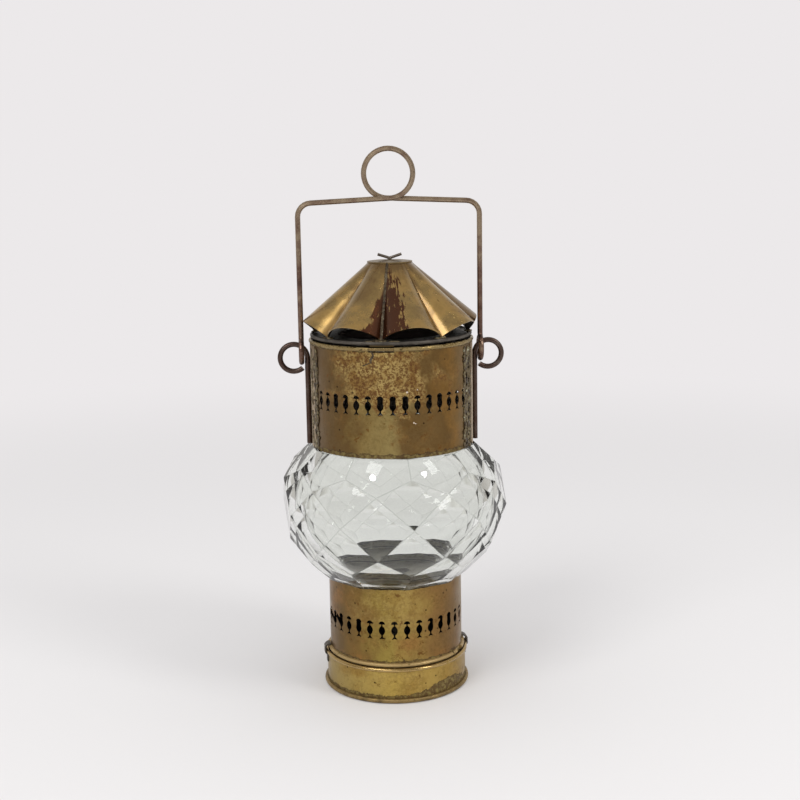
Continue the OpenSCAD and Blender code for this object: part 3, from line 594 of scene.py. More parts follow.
def tinned_sheet(name, light, dark, rust, rough_low=0.38, metal_share=0.8):
    """Hot-tinned iron sheet, tarnished: grey metal with darker clouds and a few rust dots."""
    made, tree = new_material(name)
    where = add_node(tree, "ShaderNodeTexCoord").outputs["Object"]
    clouds = add_node(
        tree, "ShaderNodeTexNoise",
        links={"Vector": where, "Scale": 1000 / 14, "Detail": 6.0, "Roughness": 0.7},
    )
    tone = add_node(
        tree, "ShaderNodeValToRGB", {"stops": [(0.33, dark), (0.55, light), (0.72, dark)]},
        {0: clouds.outputs[0]},
    )
    dots = add_node(
        tree, "ShaderNodeTexNoise",
        links={"Vector": where, "Scale": 1000 / 2.4, "Detail": 5.0, "Roughness": 0.8},
    )
    rusty = add_node(
        tree, "ShaderNodeMapRange", SMOOTH,
        {"Value": dots.outputs[0], "From Min": 0.56, "From Max": 0.68, "To Max": 0.75},
    )
    colour = add_node(
        tree, "ShaderNodeMix", BLEND, {0: rusty.outputs[0], 6: tone.outputs[0], 7: paint(rust)},
    )
    rough = add_node(
        tree, "ShaderNodeMapRange",
        links={"Value": dots.outputs[0], "From Min": 0.3, "From Max": 0.7, "To Min": rough_low,
               "To Max": 0.65},
    )
    uneven = add_node(
        tree, "ShaderNodeBump", links={"Height": clouds.outputs[0], "Strength": 0.7, "Distance": 0.8 * MM},
    )
    rippled = add_node(
        tree, "ShaderNodeBump",
        links={"Height": dots.outputs[0], "Strength": 0.6, "Distance": 0.15 * MM,
               "Normal": uneven.outputs[0]},
    )
    shader = add_node(
        tree, "ShaderNodeBsdfPrincipled",
        links={"Base Color": colour.outputs[2], "Metallic": metal_share, "Roughness": rough.outputs[0],
               "Normal": rippled.outputs[0]},
    )
    add_node(tree, "ShaderNodeOutputMaterial", links={"Surface": shader.outputs[0]})
    return made


lid_tin = tinned_sheet("tarnished_tin_grey", light="#625d56", dark="#403c37", rust="#3b2f26", rough_low=0.3)
strap_tin = tinned_sheet("tarnished_tin_brown", light="#b9a68b", dark="#8c7a62", rust="#44352a")
holder_tin = tinned_sheet(
    "candle_holder_tin", light="#a3a094", dark="#838074", rust="#6d6658",
    rough_low=0.28,
)
foot_tin = tinned_sheet("foot_wire_brown", light="#9c8456", dark="#594a32", rust="#4a3722", rough_low=0.28)
for part in ("lid_plate", "lid_rim", "claw_left", "claw_right"):
    coat(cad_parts[part], lid_tin)
for part in ("side_strap_left", "side_strap_right"):
    coat(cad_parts[part], strap_tin)
for part in ("candle_stem", "candle_socket", "candle_pan", "base_floor"):
    coat(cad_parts[part], holder_tin)
coat(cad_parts["foot_wire"], foot_tin)


# ------------------------------------------------------------------ solder
# Soft solder, wiped on thick with an iron along the straps' front edges, up the cowl's
# seam, at the hinge and under each foot of the cowl. It set in lumps and has gone brown
# and grey, with pale green crumbs of corrosion.

def soft_solder(name, tones):
    """Oxidised tin and lead solder: tones run from its crevices to its pale crumbs."""
    made, tree = new_material(name)
    where = add_node(tree, "ShaderNodeTexCoord").outputs["Object"]
    wiped = add_node(
        tree, "ShaderNodeMapping", {"vector_type": "POINT"},
        {"Vector": where, "Scale": (1, 1, 0.45)},
    )
    crumbs = add_node(
        tree, "ShaderNodeTexNoise",
        links={"Vector": wiped.outputs[0], "Scale": 1000 / 2.6, "Detail": 6.0, "Roughness": 0.72},
    )
    tone = add_node(
        tree, "ShaderNodeValToRGB", {"stops": tones},
        {0: crumbs.outputs[0]},
    )
    rough = add_node(
        tree, "ShaderNodeMapRange",
        links={"Value": crumbs.outputs[0], "From Min": 0.35, "From Max": 0.65, "To Min": 0.32,
               "To Max": 0.6},
    )
    lumpy = add_node(
        tree, "ShaderNodeBump", links={"Height": crumbs.outputs[0], "Strength": 1.0, "Distance": 0.9 * MM},
    )
    shader = add_node(
        tree, "ShaderNodeBsdfPrincipled",
        links={"Base Color": tone.outputs[0], "Metallic": 0.55, "Roughness": rough.outputs[0],
               "Normal": lumpy.outputs[0]},
    )
    add_node(tree, "ShaderNodeOutputMaterial", links={"Surface": shader.outputs[0]})
    return made


oxidised_solder = soft_solder(
    "oxidised_soft_solder",
    [(0.38, "#2b2117"), (0.46, "#524430"), (0.55, "#77694c"), (0.62, "#8b8569"), (0.68, "#c3c5b0")],
)
smoked_solder = soft_solder(
    "smoked_soft_solder",
    [(0.38, "#211912"), (0.46, "#3f3325"), (0.57, "#5b4f3c"), (0.64, "#7a7360"), (0.68, "#b7b7a4")],
)


def only(piece):
    """Makes one piece the only one selected, and active."""
    bpy.ops.object.select_all(action="DESELECT")
    piece.select_set(True)
    bpy.context.view_layer.objects.active = piece


def at_angle(turn, radius, height):
    """A point in metres, turn degrees round from the front, and the outward direction there."""
    way = Vector((math.sin(math.radians(turn)), -math.cos(math.radians(turn)), 0))
    return way * radius * MM + Vector((0, 0, height * MM)), way


def run_together(name, lumps, body, material, grain_mm=0.4, sunk_mm=0.45):
    """Lumps of soft metal or paint run together. Each lump is a point on what carries it, the
    way out from there, and in mm its half width, half height and how far it stands out. Its
    underside is sunk a little, less than the sheet is thick."""
    made = []
    for point, out, (across, up, proud) in lumps:
        bpy.ops.object.select_all(action="DESELECT")
        bpy.ops.mesh.primitive_ico_sphere_add(subdivisions=2, radius=MM)
        lump = bpy.context.object
        level = Vector((0, 0, 1)).cross(out)
        level = level.normalized() if level.length > 0.01 else Vector((1, 0, 0))
        facing = Matrix((level, out.cross(level), out)).transposed().to_4x4()
        deep, centre = (proud + sunk_mm) / 2, point + out * (proud - sunk_mm) / 2 * MM
        lump.matrix_world = Matrix.Translation(centre) @ facing @ Matrix.Diagonal((across, up, deep, 1))
        made.append(lump)
    bpy.ops.object.select_all(action="DESELECT")
    for lump in made:
        lump.select_set(True)
    bpy.context.view_layer.objects.active = made[0]
    bpy.ops.object.join()
    bpy.ops.object.transform_apply(location=True, rotation=True, scale=True)
    run = bpy.context.object
    run.name = name
    fused = run.modifiers.new("fused", "REMESH")
    fused.mode, fused.voxel_size = "VOXEL", grain_mm * MM
    bpy.ops.object.modifier_apply(modifier=fused.name)
    eased = run.modifiers.new("eased", "SMOOTH")
    eased.iterations, eased.factor = 1, 0.5
    bpy.ops.object.modifier_apply(modifier=eased.name)
    bpy.ops.object.shade_smooth()
    coat(run, material)
    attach(run, body)


def strap_band(name, first_turn, last_turn, seed):
    """A rough band of solder up a strap's front edge, from the glass to the rolled bead."""
    draw = random.Random(seed)
    lumps = []
    rows, pitch, first_z = 52, 1.52, DRUM_Z + 0.8
    for step in range(rows):
        height = first_z + step * pitch
        for turn in (first_turn, (first_turn + last_turn) / 2, last_turn):
            thickest = 2.2 if turn == (last_turn if first_turn > 0 else first_turn) else 1.5
            point, out = at_angle(turn + draw.uniform(-1.3, 1.3), DRUM_R, height)
            size = (draw.uniform(1.4, 2.6), draw.uniform(1.0, 2.2), draw.uniform(0.6, thickest))
            lumps.append((point, out, size))
    run_together(name, lumps, "lantern", oxidised_solder)


strap_band("solder_band_left", -77.5, -69.0, 11)
strap_band("solder_band_right", 59.5, 67.5, 12)

# a run of solder spilt from the hinge down the cylinder, with a thin tail to the left
draw = random.Random(31)
spill = []
SPILL_TURN, SPILL_Z = -16.5, DRUM_BEAD_Z - 2.2
TAIL_TURN, TAIL_Z = -18.5, DRUM_BEAD_Z - 10.5
for step in range(9):
    point, out = at_angle(SPILL_TURN + math.sin(step * 0.7) * 0.9, DRUM_R, SPILL_Z - step * 0.95)
    spill.append((point, out, (draw.uniform(0.5, 1.3), draw.uniform(0.8, 1.3), draw.uniform(0.25, 0.6))))
for step in range(5):
    point, out = at_angle(TAIL_TURN - step * 1.1, DRUM_R, TAIL_Z - step * 0.5)
    spill.append((point, out, (1.1, 0.4, 0.25)))
run_together("solder_spill", spill, "lantern", smoked_solder, 0.25, 0.5)

# four spots of old whitewash near the pierced row
whitewash, tree = new_material("old_whitewash")
where = add_node(tree, "ShaderNodeTexCoord").outputs["Object"]
dust = add_node(tree, "ShaderNodeTexNoise", links={"Vector": where, "Scale": 1000 / 0.8, "Detail": 3.0})
tone = add_node(
    tree, "ShaderNodeValToRGB", {"stops": [(0.35, "#b9a48c"), (0.6, "#d9cdbd")]}, {0: dust.outputs[0]},
)
shader = add_node(
    tree, "ShaderNodeBsdfPrincipled",
    links={"Base Color": tone.outputs[0], "Roughness": 0.85},
)
add_node(tree, "ShaderNodeOutputMaterial", links={"Surface": shader.outputs[0]})
spots = []
for turn, height, width in ((7.2, 248.6, 0.95), (14.4, 250.2, 0.6), (11.6, 225.0, 0.8), (12.8, 224.4, 0.6)):
    point, out = at_angle(turn, DRUM_R, height)
    spots.append((point, out, (width, width * 0.9, 0.25)))
run_together("whitewash_spots", spots, "lantern", whitewash, 0.2)

# feet of the cowl on the lid, where the solder ran under each valley
draw = random.Random(21)
COWL_TURN, FLUTES = -10.0, 8
FEET_R, LID_TOP_Z = 61.2, 287.1
UP = Vector((0, 0, 1))
feet = []
for k in range(FLUTES):
    for step in range(9):
        turn = COWL_TURN + k * 360 / FLUTES + draw.uniform(-4.5, 4.0)
        point = at_angle(turn, FEET_R + draw.uniform(-1.8, 1.0), LID_TOP_Z)[0]
        size = (draw.uniform(1.2, 2.6), draw.uniform(1.0, 2.2), draw.uniform(0.7, 1.8))
        feet.append((point, UP, size))
for turn in (-20, -18.5, -17, -12.5, -11, -9.5, -8, -3.5, -2, 0, 1.5):
    point = at_angle(turn, FEET_R + 1, LID_TOP_Z)[0]
    feet.append((point, UP, (1.7, 1.3, 0.7)))
run_together("solder_feet", feet, "lid", oxidised_solder)


# ------------------------------------------------------------------ cement rings
# Plaster that beds the glass necks in the brass, hardly seen from outside.

plaster, tree = new_material("bedding_plaster")
where = add_node(tree, "ShaderNodeTexCoord").outputs["Object"]
lumps = add_node(tree, "ShaderNodeTexNoise", links={"Vector": where, "Scale": 1000 / 3, "Detail": 5.0})
tone = add_node(
    tree, "ShaderNodeValToRGB", {"stops": [(0.35, "#8d8776"), (0.65, "#b9b3a2")]},
    {0: lumps.outputs[0]},
)
grain = add_node(
    tree, "ShaderNodeBump",
    links={"Height": lumps.outputs[0], "Strength": 0.6, "Distance": 0.3 * MM},
)
shader = add_node(
    tree, "ShaderNodeBsdfPrincipled",
    links={"Base Color": tone.outputs[0], "Roughness": 0.9, "Normal": grain.outputs[0]},
)
add_node(tree, "ShaderNodeOutputMaterial", links={"Surface": shader.outputs[0]})
coat(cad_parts["upper_cement"], plaster)
coat(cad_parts["lower_cement"], plaster)


# ------------------------------------------------------------------ glass globe
# Thick clear glass, blown round inside and ground into flat diamonds outside, so each
# facet is one plane cut from a plain drum of glass.

FACETS, GLOBE_TURN, GLOBE_Z, GLOBE_H = 10, 6.3, 92.22, 105.7
HALF = math.cos(math.pi / FACETS)
NECK_GAP, NECK_H, WALL = 2.2, 12, 4.0
NECK_LOW_R, NECK_TOP_R = TUBE_R - NECK_GAP, DRUM_R - NECK_GAP
SHOULDER_R, SHOULDER_Z, UPPER_Z = 81.0, GLOBE_H - 13.2, GLOBE_H - 24.2
BELLY_R, BELLY_Z = 91.0, GLOBE_H * 0.534
LOWER_Z, HEEL_Z, SEAT_Z = 31, 16, 1.6


def along(p, q, height):
    """The radius at a height on the line through two points given as (radius, height)."""
    return p[0] + (q[0] - p[0]) * (height - p[1]) / (q[1] - p[1])


# rows of facet corners as (radius, height), from a at the top to e, where the flats meet
row_a = (SHOULDER_R, SHOULDER_Z)
row_c = (BELLY_R, BELLY_Z)
row_b = (along(row_a, row_c, UPPER_Z) / HALF, UPPER_Z)
row_d = (along(row_b, (row_c[0] * HALF, row_c[1]), LOWER_Z), LOWER_Z)
row_e = (along(row_c, (row_d[0] * HALF, row_d[1]), HEEL_Z), HEEL_Z)
seat_top = (along(row_b, (row_a[0] * HALF, row_a[1]), GLOBE_H) / HALF, GLOBE_H)
seat_low = (along(row_d, (row_e[0] * HALF, row_e[1]), SEAT_Z) / HALF, SEAT_Z)


def facet_corner(row, step):
    """A corner in metres, step facets round from the one that is nearest the front."""
    turn = math.radians(step * 360 / FACETS + GLOBE_TURN)
    return Vector((row[0] * math.sin(turn), -row[0] * math.cos(turn), row[1] + GLOBE_Z)) * MM


def cut_away(piece, cutter, operation="DIFFERENCE"):
    """Applies a Boolean with another object, which is used up."""
    only(piece)
    cut = piece.modifiers.new("cut", "BOOLEAN")
    cut.operation, cut.object, cut.solver = operation, cutter, "EXACT"
    bpy.ops.object.modifier_apply(modifier=cut.name)
    bpy.data.objects.remove(cutter, do_unlink=True)


def turned(name, profile, steps=96):
    """Spins a profile of (radius, height) in mm into a closed solid on the lantern's axis."""
    data = bpy.data.meshes.new(name)
    data.from_pydata(
        [(r * MM, 0, z * MM) for r, z in profile], [(i, i + 1) for i in range(len(profile) - 1)], [],
    )
    piece = bpy.data.objects.new(name, data)
    bpy.context.scene.collection.objects.link(piece)
    only(piece)
    bpy.ops.object.mode_set(mode="EDIT")
    bpy.ops.mesh.select_all(action="SELECT")
    bpy.ops.mesh.spin(steps=steps, angle=2 * math.pi, center=(0, 0, 0), axis=(0, 0, 1))
    bpy.ops.mesh.select_all(action="SELECT")
    bpy.ops.mesh.remove_doubles(threshold=1e-6)
    bpy.ops.mesh.normals_make_consistent(inside=False)
    bpy.ops.object.mode_set(mode="OBJECT")
    return piece


# the plain drum of glass that the flats are cut from
BLANK_R = 95
middle = Vector((0, 0, (GLOBE_Z + GLOBE_H / 2) * MM))
bpy.ops.object.select_all(action="DESELECT")
bpy.ops.mesh.primitive_cylinder_add(
    vertices=90, radius=BLANK_R * MM, depth=GLOBE_H * MM, location=middle,
)
globe = bpy.context.object
globe.name = "globe_cut_glass"
bpy.ops.object.transform_apply(location=True, rotation=True, scale=True)
bpy.ops.object.mode_set(mode="EDIT")
for i in range(FACETS):
    flats = (
        (facet_corner(seat_low, i), facet_corner(seat_low, i + 1), facet_corner(row_d, i + 0.5)),
        (facet_corner(row_e, i), facet_corner(row_d, i + 0.5), facet_corner(row_c, i)),
        (facet_corner(row_d, i + 0.5), facet_corner(row_c, i + 1), facet_corner(row_b, i + 0.5)),
        (facet_corner(row_c, i), facet_corner(row_b, i + 0.5), facet_corner(row_a, i)),
        (facet_corner(row_b, i + 0.5), facet_corner(seat_top, i + 1), facet_corner(seat_top, i)),
    )
    for p, q, r in flats:
        outward = (q - p).cross(r - p).normalized()
        if outward.dot(p - middle) < 0:
            outward.negate()
        bpy.ops.mesh.select_all(action="SELECT")
        bpy.ops.mesh.bisect(plane_co=p, plane_no=outward, use_fill=True, clear_outer=True)
bpy.ops.mesh.select_all(action="SELECT")
bpy.ops.mesh.remove_doubles(threshold=2e-5)
bpy.ops.object.mode_set(mode="OBJECT")

# soda-lime glass, ground and polished: clear, with a very faint grey-green in thick parts
cut_glass, tree = new_material("cut_soda_glass")
shader = add_node(
    tree, "ShaderNodeBsdfPrincipled",
    links={"Base Color": paint("#f6f8f5"), "Transmission Weight": 1.0, "Roughness": 0.0, "IOR": 1.5},
)
add_node(tree, "ShaderNodeOutputMaterial", links={"Surface": shader.outputs[0]})

# the edges between flats are eased by the wheel and stay a little dull
dull_edge, tree = new_material("cut_glass_dull_edge")
shader = add_node(
    tree, "ShaderNodeBsdfPrincipled",
    links={"Base Color": paint("#d9dcd7"), "Transmission Weight": 1.0, "Roughness": 0.18, "IOR": 1.5},
)
add_node(tree, "ShaderNodeOutputMaterial", links={"Surface": shader.outputs[0]})
coat(globe, cut_glass, dull_edge)
only(globe)
eased = globe.modifiers.new("eased", "BEVEL")
eased.width, eased.segments = 0.5 * MM, 2
eased.limit_method, eased.angle_limit = "ANGLE", math.radians(8)
eased.material = 1
bpy.ops.object.modifier_apply(modifier=eased.name)
# the lower rim is turned round, so the flats run out into it
rim_r, clear_r, clear_z = seat_low[0] * HALF + 0.5, 120, 110
within = [
    (0, -1), (rim_r, -1), (rim_r, 0.2), (row_e[0] + 0.5, row_e[1]),
    (clear_r, row_e[1] + 0.1), (clear_r, clear_z), (0, clear_z),
]
cut_away(globe, turned("round_rim", [(r, GLOBE_Z + z) for r, z in within]), "INTERSECT")
for r, low, high in ((NECK_LOW_R, -NECK_H, 2), (NECK_TOP_R, GLOBE_H - 2, GLOBE_H + NECK_H)):
    neck = turned(
        "neck",
        [(0, GLOBE_Z + low), (r, GLOBE_Z + low), (r, GLOBE_Z + high), (0, GLOBE_Z + high)],
    )
    cut_away(globe, neck, "UNION")

# the inside was blown round, with a wall 3 mm thicker at the belly
neck_low_in, neck_top_in = NECK_LOW_R - WALL, NECK_TOP_R - WALL
belly_in = BELLY_R * HALF - WALL - 3
BORE_STEPS = 48


def bore_radius(t):
    """The inner radius, t of the way up from the lower neck (0) to the upper neck (1)."""
    swell = belly_in - (neck_low_in + neck_top_in) / 2
    return neck_low_in + (neck_top_in - neck_low_in) * t + swell * math.sin(math.pi * t ** 0.96) ** 0.8


bore_profile = [(0, GLOBE_Z - NECK_H - 1), (neck_low_in, GLOBE_Z - NECK_H - 1)]
bore_profile += [
    (bore_radius(i / BORE_STEPS), GLOBE_Z + GLOBE_H * i / BORE_STEPS) for i in range(BORE_STEPS)
]
bore_profile += [(neck_top_in, GLOBE_Z + GLOBE_H), (neck_top_in, GLOBE_Z + GLOBE_H + NECK_H + 1)]
bore_profile += [(0, GLOBE_Z + GLOBE_H + NECK_H + 1)]
cut_away(globe, turned("bore", bore_profile, 128))
only(globe)
bpy.ops.object.shade_smooth_by_angle(angle=math.radians(7))

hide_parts("glass_globe")
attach(globe, "lantern")


# ------------------------------------------------------------------ cowl
# One disc of thin sheet brass dressed into eight flutes over a cone and soldered to the
# lid where the valleys touch. It was lacquered, and the lacquer has browned and flaked.

FOOT_R, TIP_R, NECK_R = 61.4, 70.0, 17.4
FOOT_Z, ARCH_H, COWL_H, COWL_T = 287.36, 10.4, 53.5, 0.8
PHASES, ARCH_FULLNESS, HALFWAY_Z = 16, 0.75, 20
top_out_z = FOOT_Z + COWL_T * 0.7 + COWL_H

bpy.ops.object.select_all(action="DESELECT")
bpy.ops.mesh.primitive_cone_add(
    vertices=FLUTES * PHASES, radius1=FOOT_R * MM, radius2=NECK_R * MM, depth=COWL_H * MM,
    end_fill_type="NOTHING", location=(0, 0, (top_out_z - COWL_H / 2) * MM),
    rotation=(0, 0, math.radians(COWL_TURN)),
)
cowl = bpy.context.object
cowl.name = "cowl_fluted_sheet"
bpy.ops.object.transform_apply(location=True, rotation=True, scale=True)


def phase_of(point):
    """How far round its flute a point is, from one valley (0) to the next (1)."""
    turn = math.degrees(math.atan2(point.x, -point.y)) - COWL_TURN
    return (turn / (360 / FLUTES)) % 1.0


bpy.ops.object.mode_set(mode="EDIT")
shell = bmesh.from_edit_mesh(cowl.data)
for k in range(PHASES):
    rise = math.sin(math.pi * k / PHASES) ** ARCH_FULLNESS
    for vert in shell.verts:
        on_phase = abs((phase_of(vert.co) - k / PHASES + 0.5) % 1.0 - 0.5) < 0.2 / PHASES
        vert.select = on_phase and vert.co.z < (FOOT_Z + HALFWAY_Z) * MM
    bmesh.update_edit_mesh(cowl.data)
    out = (FOOT_R + (TIP_R - FOOT_R) * rise) / FOOT_R
    bpy.ops.transform.resize(value=(out, out, 1), center_override=(0, 0, 0))
    bpy.ops.transform.translate(value=(0, 0, ARCH_H * rise * MM))
for edge in shell.edges:
    edge.select = abs(edge.verts[0].co.z - edge.verts[1].co.z) > HALFWAY_Z * MM
bmesh.update_edit_mesh(cowl.data)
bpy.ops.mesh.subdivide(number_cuts=15)
bpy.ops.object.mode_set(mode="OBJECT")

lacquered, tree = new_material("lacquered_brass")
where = add_node(tree, "ShaderNodeTexCoord").outputs["Object"]
straight = add_node(
    tree, "ShaderNodeMapping", {"vector_type": "POINT"},
    {"Vector": where, "Rotation": (0, 0, math.radians(-COWL_TURN))},
)
split = add_node(tree, "ShaderNodeSeparateXYZ", links={0: straight.outputs[0]})
front = add_node(tree, "ShaderNodeMath", {"operation": "MULTIPLY"}, {0: split.outputs["Y"], 1: -1.0})
angle = add_node(
    tree, "ShaderNodeMath", {"operation": "ARCTAN2"}, {0: split.outputs["X"], 1: front.outputs[0]},
)
slope = add_node(
    tree, "ShaderNodeMapRange",
    links={"Value": split.outputs["Z"], "From Min": FOOT_Z * MM, "From Max": top_out_z * MM},
)
# flakes run down the slope, so their noise is drawn out along it
flake_across = add_node(tree, "ShaderNodeMath", {"operation": "MULTIPLY"}, {0: angle.outputs[0], 1: 0.06})
flake_down = add_node(tree, "ShaderNodeMath", {"operation": "MULTIPLY"}, {0: split.outputs["Z"], 1: 0.42})
flake_place = add_node(
    tree, "ShaderNodeCombineXYZ", links={0: flake_across.outputs[0], 1: flake_down.outputs[0]},
)
tear_noise = add_node(
    tree, "ShaderNodeTexNoise",
    links={"Vector": flake_place.outputs[0], "Scale": 1000 / 5, "Detail": 6.0, "Roughness": 0.66},
)
tear = add_node(
    tree, "ShaderNodeMath", {"operation": "MULTIPLY_ADD"}, {0: tear_noise.outputs[0], 1: 3.0, 2: -1.0},
)


def stain_field(far_side, low_reach, high_reach, top):
    """1 against the front valley and 0 at a side edge that closes in from the foot to the top.
    Angles are in degrees from the valley."""
    reach = add_node(
        tree, "ShaderNodeMapRange",
        links={"Value": slope.outputs[0], "From Min": 0.0, "From Max": top,
               "To Min": math.radians(low_reach), "To Max": math.radians(high_reach)},
    )
    away = add_node(tree, "ShaderNodeMath", {"operation": "MULTIPLY"}, {0: angle.outputs[0], 1: far_side})
    left = add_node(
        tree, "ShaderNodeMath", {"operation": "DIVIDE"},
        {0: away.outputs[0], 1: reach.outputs[0]},
    )
    within = add_node(
        tree, "ShaderNodeMapRange",
        links={"Value": left.outputs[0], "From Min": 0.55, "From Max": 1.15, "To Min": 1.0, "To Max": 0.0},
    )
    own_side = add_node(tree, "ShaderNodeMath", {"operation": "GREATER_THAN"}, {0: away.outputs[0], 1: 0.0})
    below = add_node(
        tree, "ShaderNodeMapRange",
        links={"Value": slope.outputs[0], "From Min": top - 0.22, "From Max": top + 0.08,
               "To Min": 1.0, "To Max": 0.0},
    )
    part = add_node(
        tree, "ShaderNodeMath", {"operation": "MULTIPLY"},
        {0: within.outputs[0], 1: below.outputs[0]},
    )
    return add_node(
        tree, "ShaderNodeMath", {"operation": "MULTIPLY"}, {0: part.outputs[0], 1: own_side.outputs[0]},
    ).outputs[0]


field = add_node(
    tree, "ShaderNodeMath", {"operation": "MAXIMUM"},
    {0: stain_field(-1.0, 14.5, 5.0, 0.68), 1: stain_field(1.0, 17.0, 21.0, 0.97)},
)
# painted shade along the valleys, where the sheet folds in between the flutes
around = add_node(tree, "ShaderNodeMath", {"operation": "MULTIPLY"}, {0: angle.outputs[0], 1: FLUTES / 2})
wave = add_node(tree, "ShaderNodeMath", {"operation": "SINE"}, {0: around.outputs[0]})
crest = add_node(tree, "ShaderNodeMath", {"operation": "ABSOLUTE"}, {0: wave.outputs[0]})
valley = add_node(
    tree, "ShaderNodeMapRange", SMOOTH,
    {"Value": crest.outputs[0], "From Min": 0.05, "From Max": 0.38, "To Min": 0.62, "To Max": 0.0},
)
flakes = add_node(
    tree, "ShaderNodeTexNoise",
    links={"Vector": flake_place.outputs[0], "Scale": 1000 / 2.6, "Detail": 4.0, "Roughness": 0.6},
)
flaked_more = add_node(
    tree, "ShaderNodeMath", {"operation": "MULTIPLY_ADD"},
    {0: slope.outputs[0], 1: 0.16, 2: flakes.outputs[0]},
)
missing = add_node(
    tree, "ShaderNodeMapRange",
    links={"Value": flaked_more.outputs[0], "From Min": 0.655, "From Max": 0.68, "To Min": 0.0,
           "To Max": 0.9},
)
torn = add_node(tree, "ShaderNodeMath", {"operation": "ADD"}, {0: field.outputs[0], 1: tear.outputs[0]})
left_over = add_node(
    tree, "ShaderNodeMath", {"operation": "SUBTRACT"},
    {0: torn.outputs[0], 1: missing.outputs[0]},
)
stained = add_node(
    tree, "ShaderNodeMapRange", SMOOTH,
    {"Value": left_over.outputs[0], "From Min": 0.95, "From Max": 1.0},
)
# the flute at the right has browned all over, and every flute has near the top
browned_from = add_node(
    tree, "ShaderNodeMapRange", SMOOTH,
    {"Value": angle.outputs[0], "From Min": math.radians(84), "From Max": math.radians(93)},
)
browned_to = add_node(
    tree, "ShaderNodeMapRange", SMOOTH,
    {"Value": angle.outputs[0], "From Min": math.radians(128), "From Max": math.radians(142)},
)
browned_side = add_node(
    tree, "ShaderNodeMath", {"operation": "SUBTRACT"},
    {0: browned_from.outputs[0], 1: browned_to.outputs[0]},
)
ragged_top = add_node(
    tree, "ShaderNodeMath", {"operation": "MULTIPLY_ADD"},
    {0: tear_noise.outputs[0], 1: 0.5, 2: slope.outputs[0]},
)
browned_top = add_node(
    tree, "ShaderNodeMapRange", SMOOTH,
    {"Value": ragged_top.outputs[0], "From Min": 0.95, "From Max": 1.25, "To Min": 0.0, "To Max": 0.8},
)
browned = add_node(
    tree, "ShaderNodeMath", {"operation": "MAXIMUM"},
    {0: browned_side.outputs[0], 1: browned_top.outputs[0]},
)
brown_share = add_node(tree, "ShaderNodeMath", {"operation": "MULTIPLY"}, {0: browned.outputs[0], 1: 0.75})
valley_shade_and_browning = add_node(
    tree, "ShaderNodeMath", {"operation": "MAXIMUM"}, {0: valley.outputs[0], 1: brown_share.outputs[0]},
)
haze = add_node(
    tree, "ShaderNodeTexNoise",
    links={"Vector": where, "Scale": 1000 / 26, "Detail": 5.0, "Roughness": 0.62},
)
gold = add_node(
    tree, "ShaderNodeValToRGB",
    {"stops": [(0.34, "#8a7047"), (0.47, "#9d8454"), (0.58, "#b4945a"), (0.70, "#957946")]},
    {0: haze.outputs[0]},
)
# the lacquer's gold, browned on the right flute and near the top, and darkened by painted shade along the
# valleys
shaded_and_browned = add_node(
    tree, "ShaderNodeMix", BLEND,
    {0: valley_shade_and_browning.outputs[0], 6: gold.outputs[0], 7: paint("#6a4f30")},
)
colour = add_node(
    tree, "ShaderNodeMix", BLEND,
    {0: stained.outputs[0], 6: shaded_and_browned.outputs[2], 7: paint("#54301a")},
)
rough = add_node(
    tree, "ShaderNodeMapRange",
    links={"Value": haze.outputs[0], "From Min": 0.3, "From Max": 0.7, "To Min": 0.20, "To Max": 0.34},
)
dents = add_node(
    tree, "ShaderNodeTexNoise",
    links={"Vector": where, "Scale": 1000 / 16, "Detail": 2.0, "Roughness": 0.4},
)
dented = add_node(
    tree, "ShaderNodeBump",
    links={"Height": dents.outputs[0], "Strength": 1.0, "Distance": 0.5 * MM},
)
flaked = add_node(
    tree, "ShaderNodeBump",
    links={"Height": stained.outputs[0], "Strength": 0.6, "Distance": 0.08 * MM,
           "Normal": dented.outputs[0]},
)
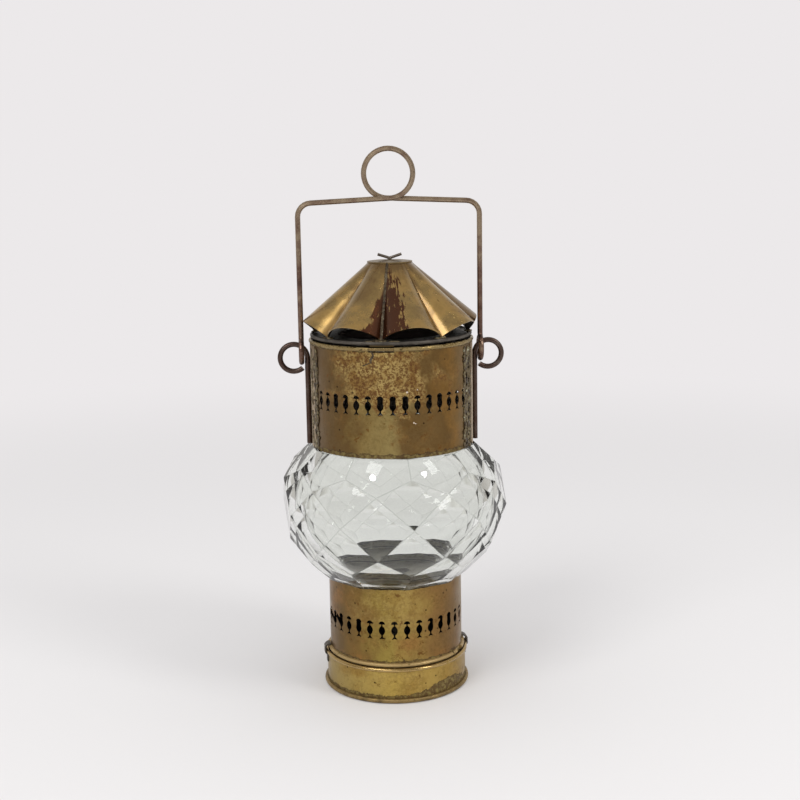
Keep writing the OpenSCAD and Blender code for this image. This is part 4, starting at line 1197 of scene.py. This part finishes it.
shader = add_node(
    tree, "ShaderNodeBsdfPrincipled",
    links={"Base Color": colour.outputs[2], "Metallic": 0.95, "Roughness": rough.outputs[0],
           "Coat Weight": 0.35, "Coat Roughness": 0.1, "Normal": flaked.outputs[0]},
)
add_node(tree, "ShaderNodeOutputMaterial", links={"Surface": shader.outputs[0]})

sooted, tree = new_material("sooted_brass")
where = add_node(tree, "ShaderNodeTexCoord").outputs["Object"]
smoke = add_node(tree, "ShaderNodeTexNoise", links={"Vector": where, "Scale": 1000 / 12, "Detail": 5.0})
tone = add_node(
    tree, "ShaderNodeValToRGB", {"stops": [(0.35, "#14110e"), (0.7, "#2c241a")]}, {0: smoke.outputs[0]},
)
shader = add_node(tree, "ShaderNodeBsdfPrincipled", links={"Base Color": tone.outputs[0], "Roughness": 0.8})
add_node(tree, "ShaderNodeOutputMaterial", links={"Surface": shader.outputs[0]})
coat(cowl, lacquered, sooted)

# the sheet gets its thickness after its finishes, so that the inside is the sooted one
only(cowl)
sheet = cowl.modifiers.new("sheet", "SOLIDIFY")
sheet.thickness, sheet.offset = COWL_T * MM, -1
sheet.material_offset = 1
sheet.material_offset_rim = 0
bpy.ops.object.modifier_apply(modifier=sheet.name)
bpy.ops.object.shade_smooth_by_angle(angle=math.radians(50))
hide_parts("cowl")
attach(cowl, "lid")
coat(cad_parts["crown_cap"], knuckle_brass)

# the sheet's two ends meet in the front valley, under a long wiped seam of solder
draw = random.Random(41)
seam = []
SEAM_STEPS, SLOPE_OUT, SLOPE_UP = 57, 0.77, 0.64
for step in range(SEAM_STEPS + 1):
    share = step / SEAM_STEPS
    cone_r = FOOT_R + (NECK_R - 0.6 - FOOT_R) * share
    point, out = at_angle(COWL_TURN + draw.uniform(-0.4, 0.4), cone_r + 0.5, FOOT_Z + 0.9 + COWL_H * share)
    proud = Vector((out.x * SLOPE_OUT, out.y * SLOPE_OUT, SLOPE_UP))
    wide = 2.3 - 1.1 * share
    size = (wide * draw.uniform(0.75, 1.15), draw.uniform(0.8, 1.2), draw.uniform(0.5, 0.85))
    seam.append((point, proud, size))
run_together("solder_seam", seam, "lid", smoked_solder, 0.3)
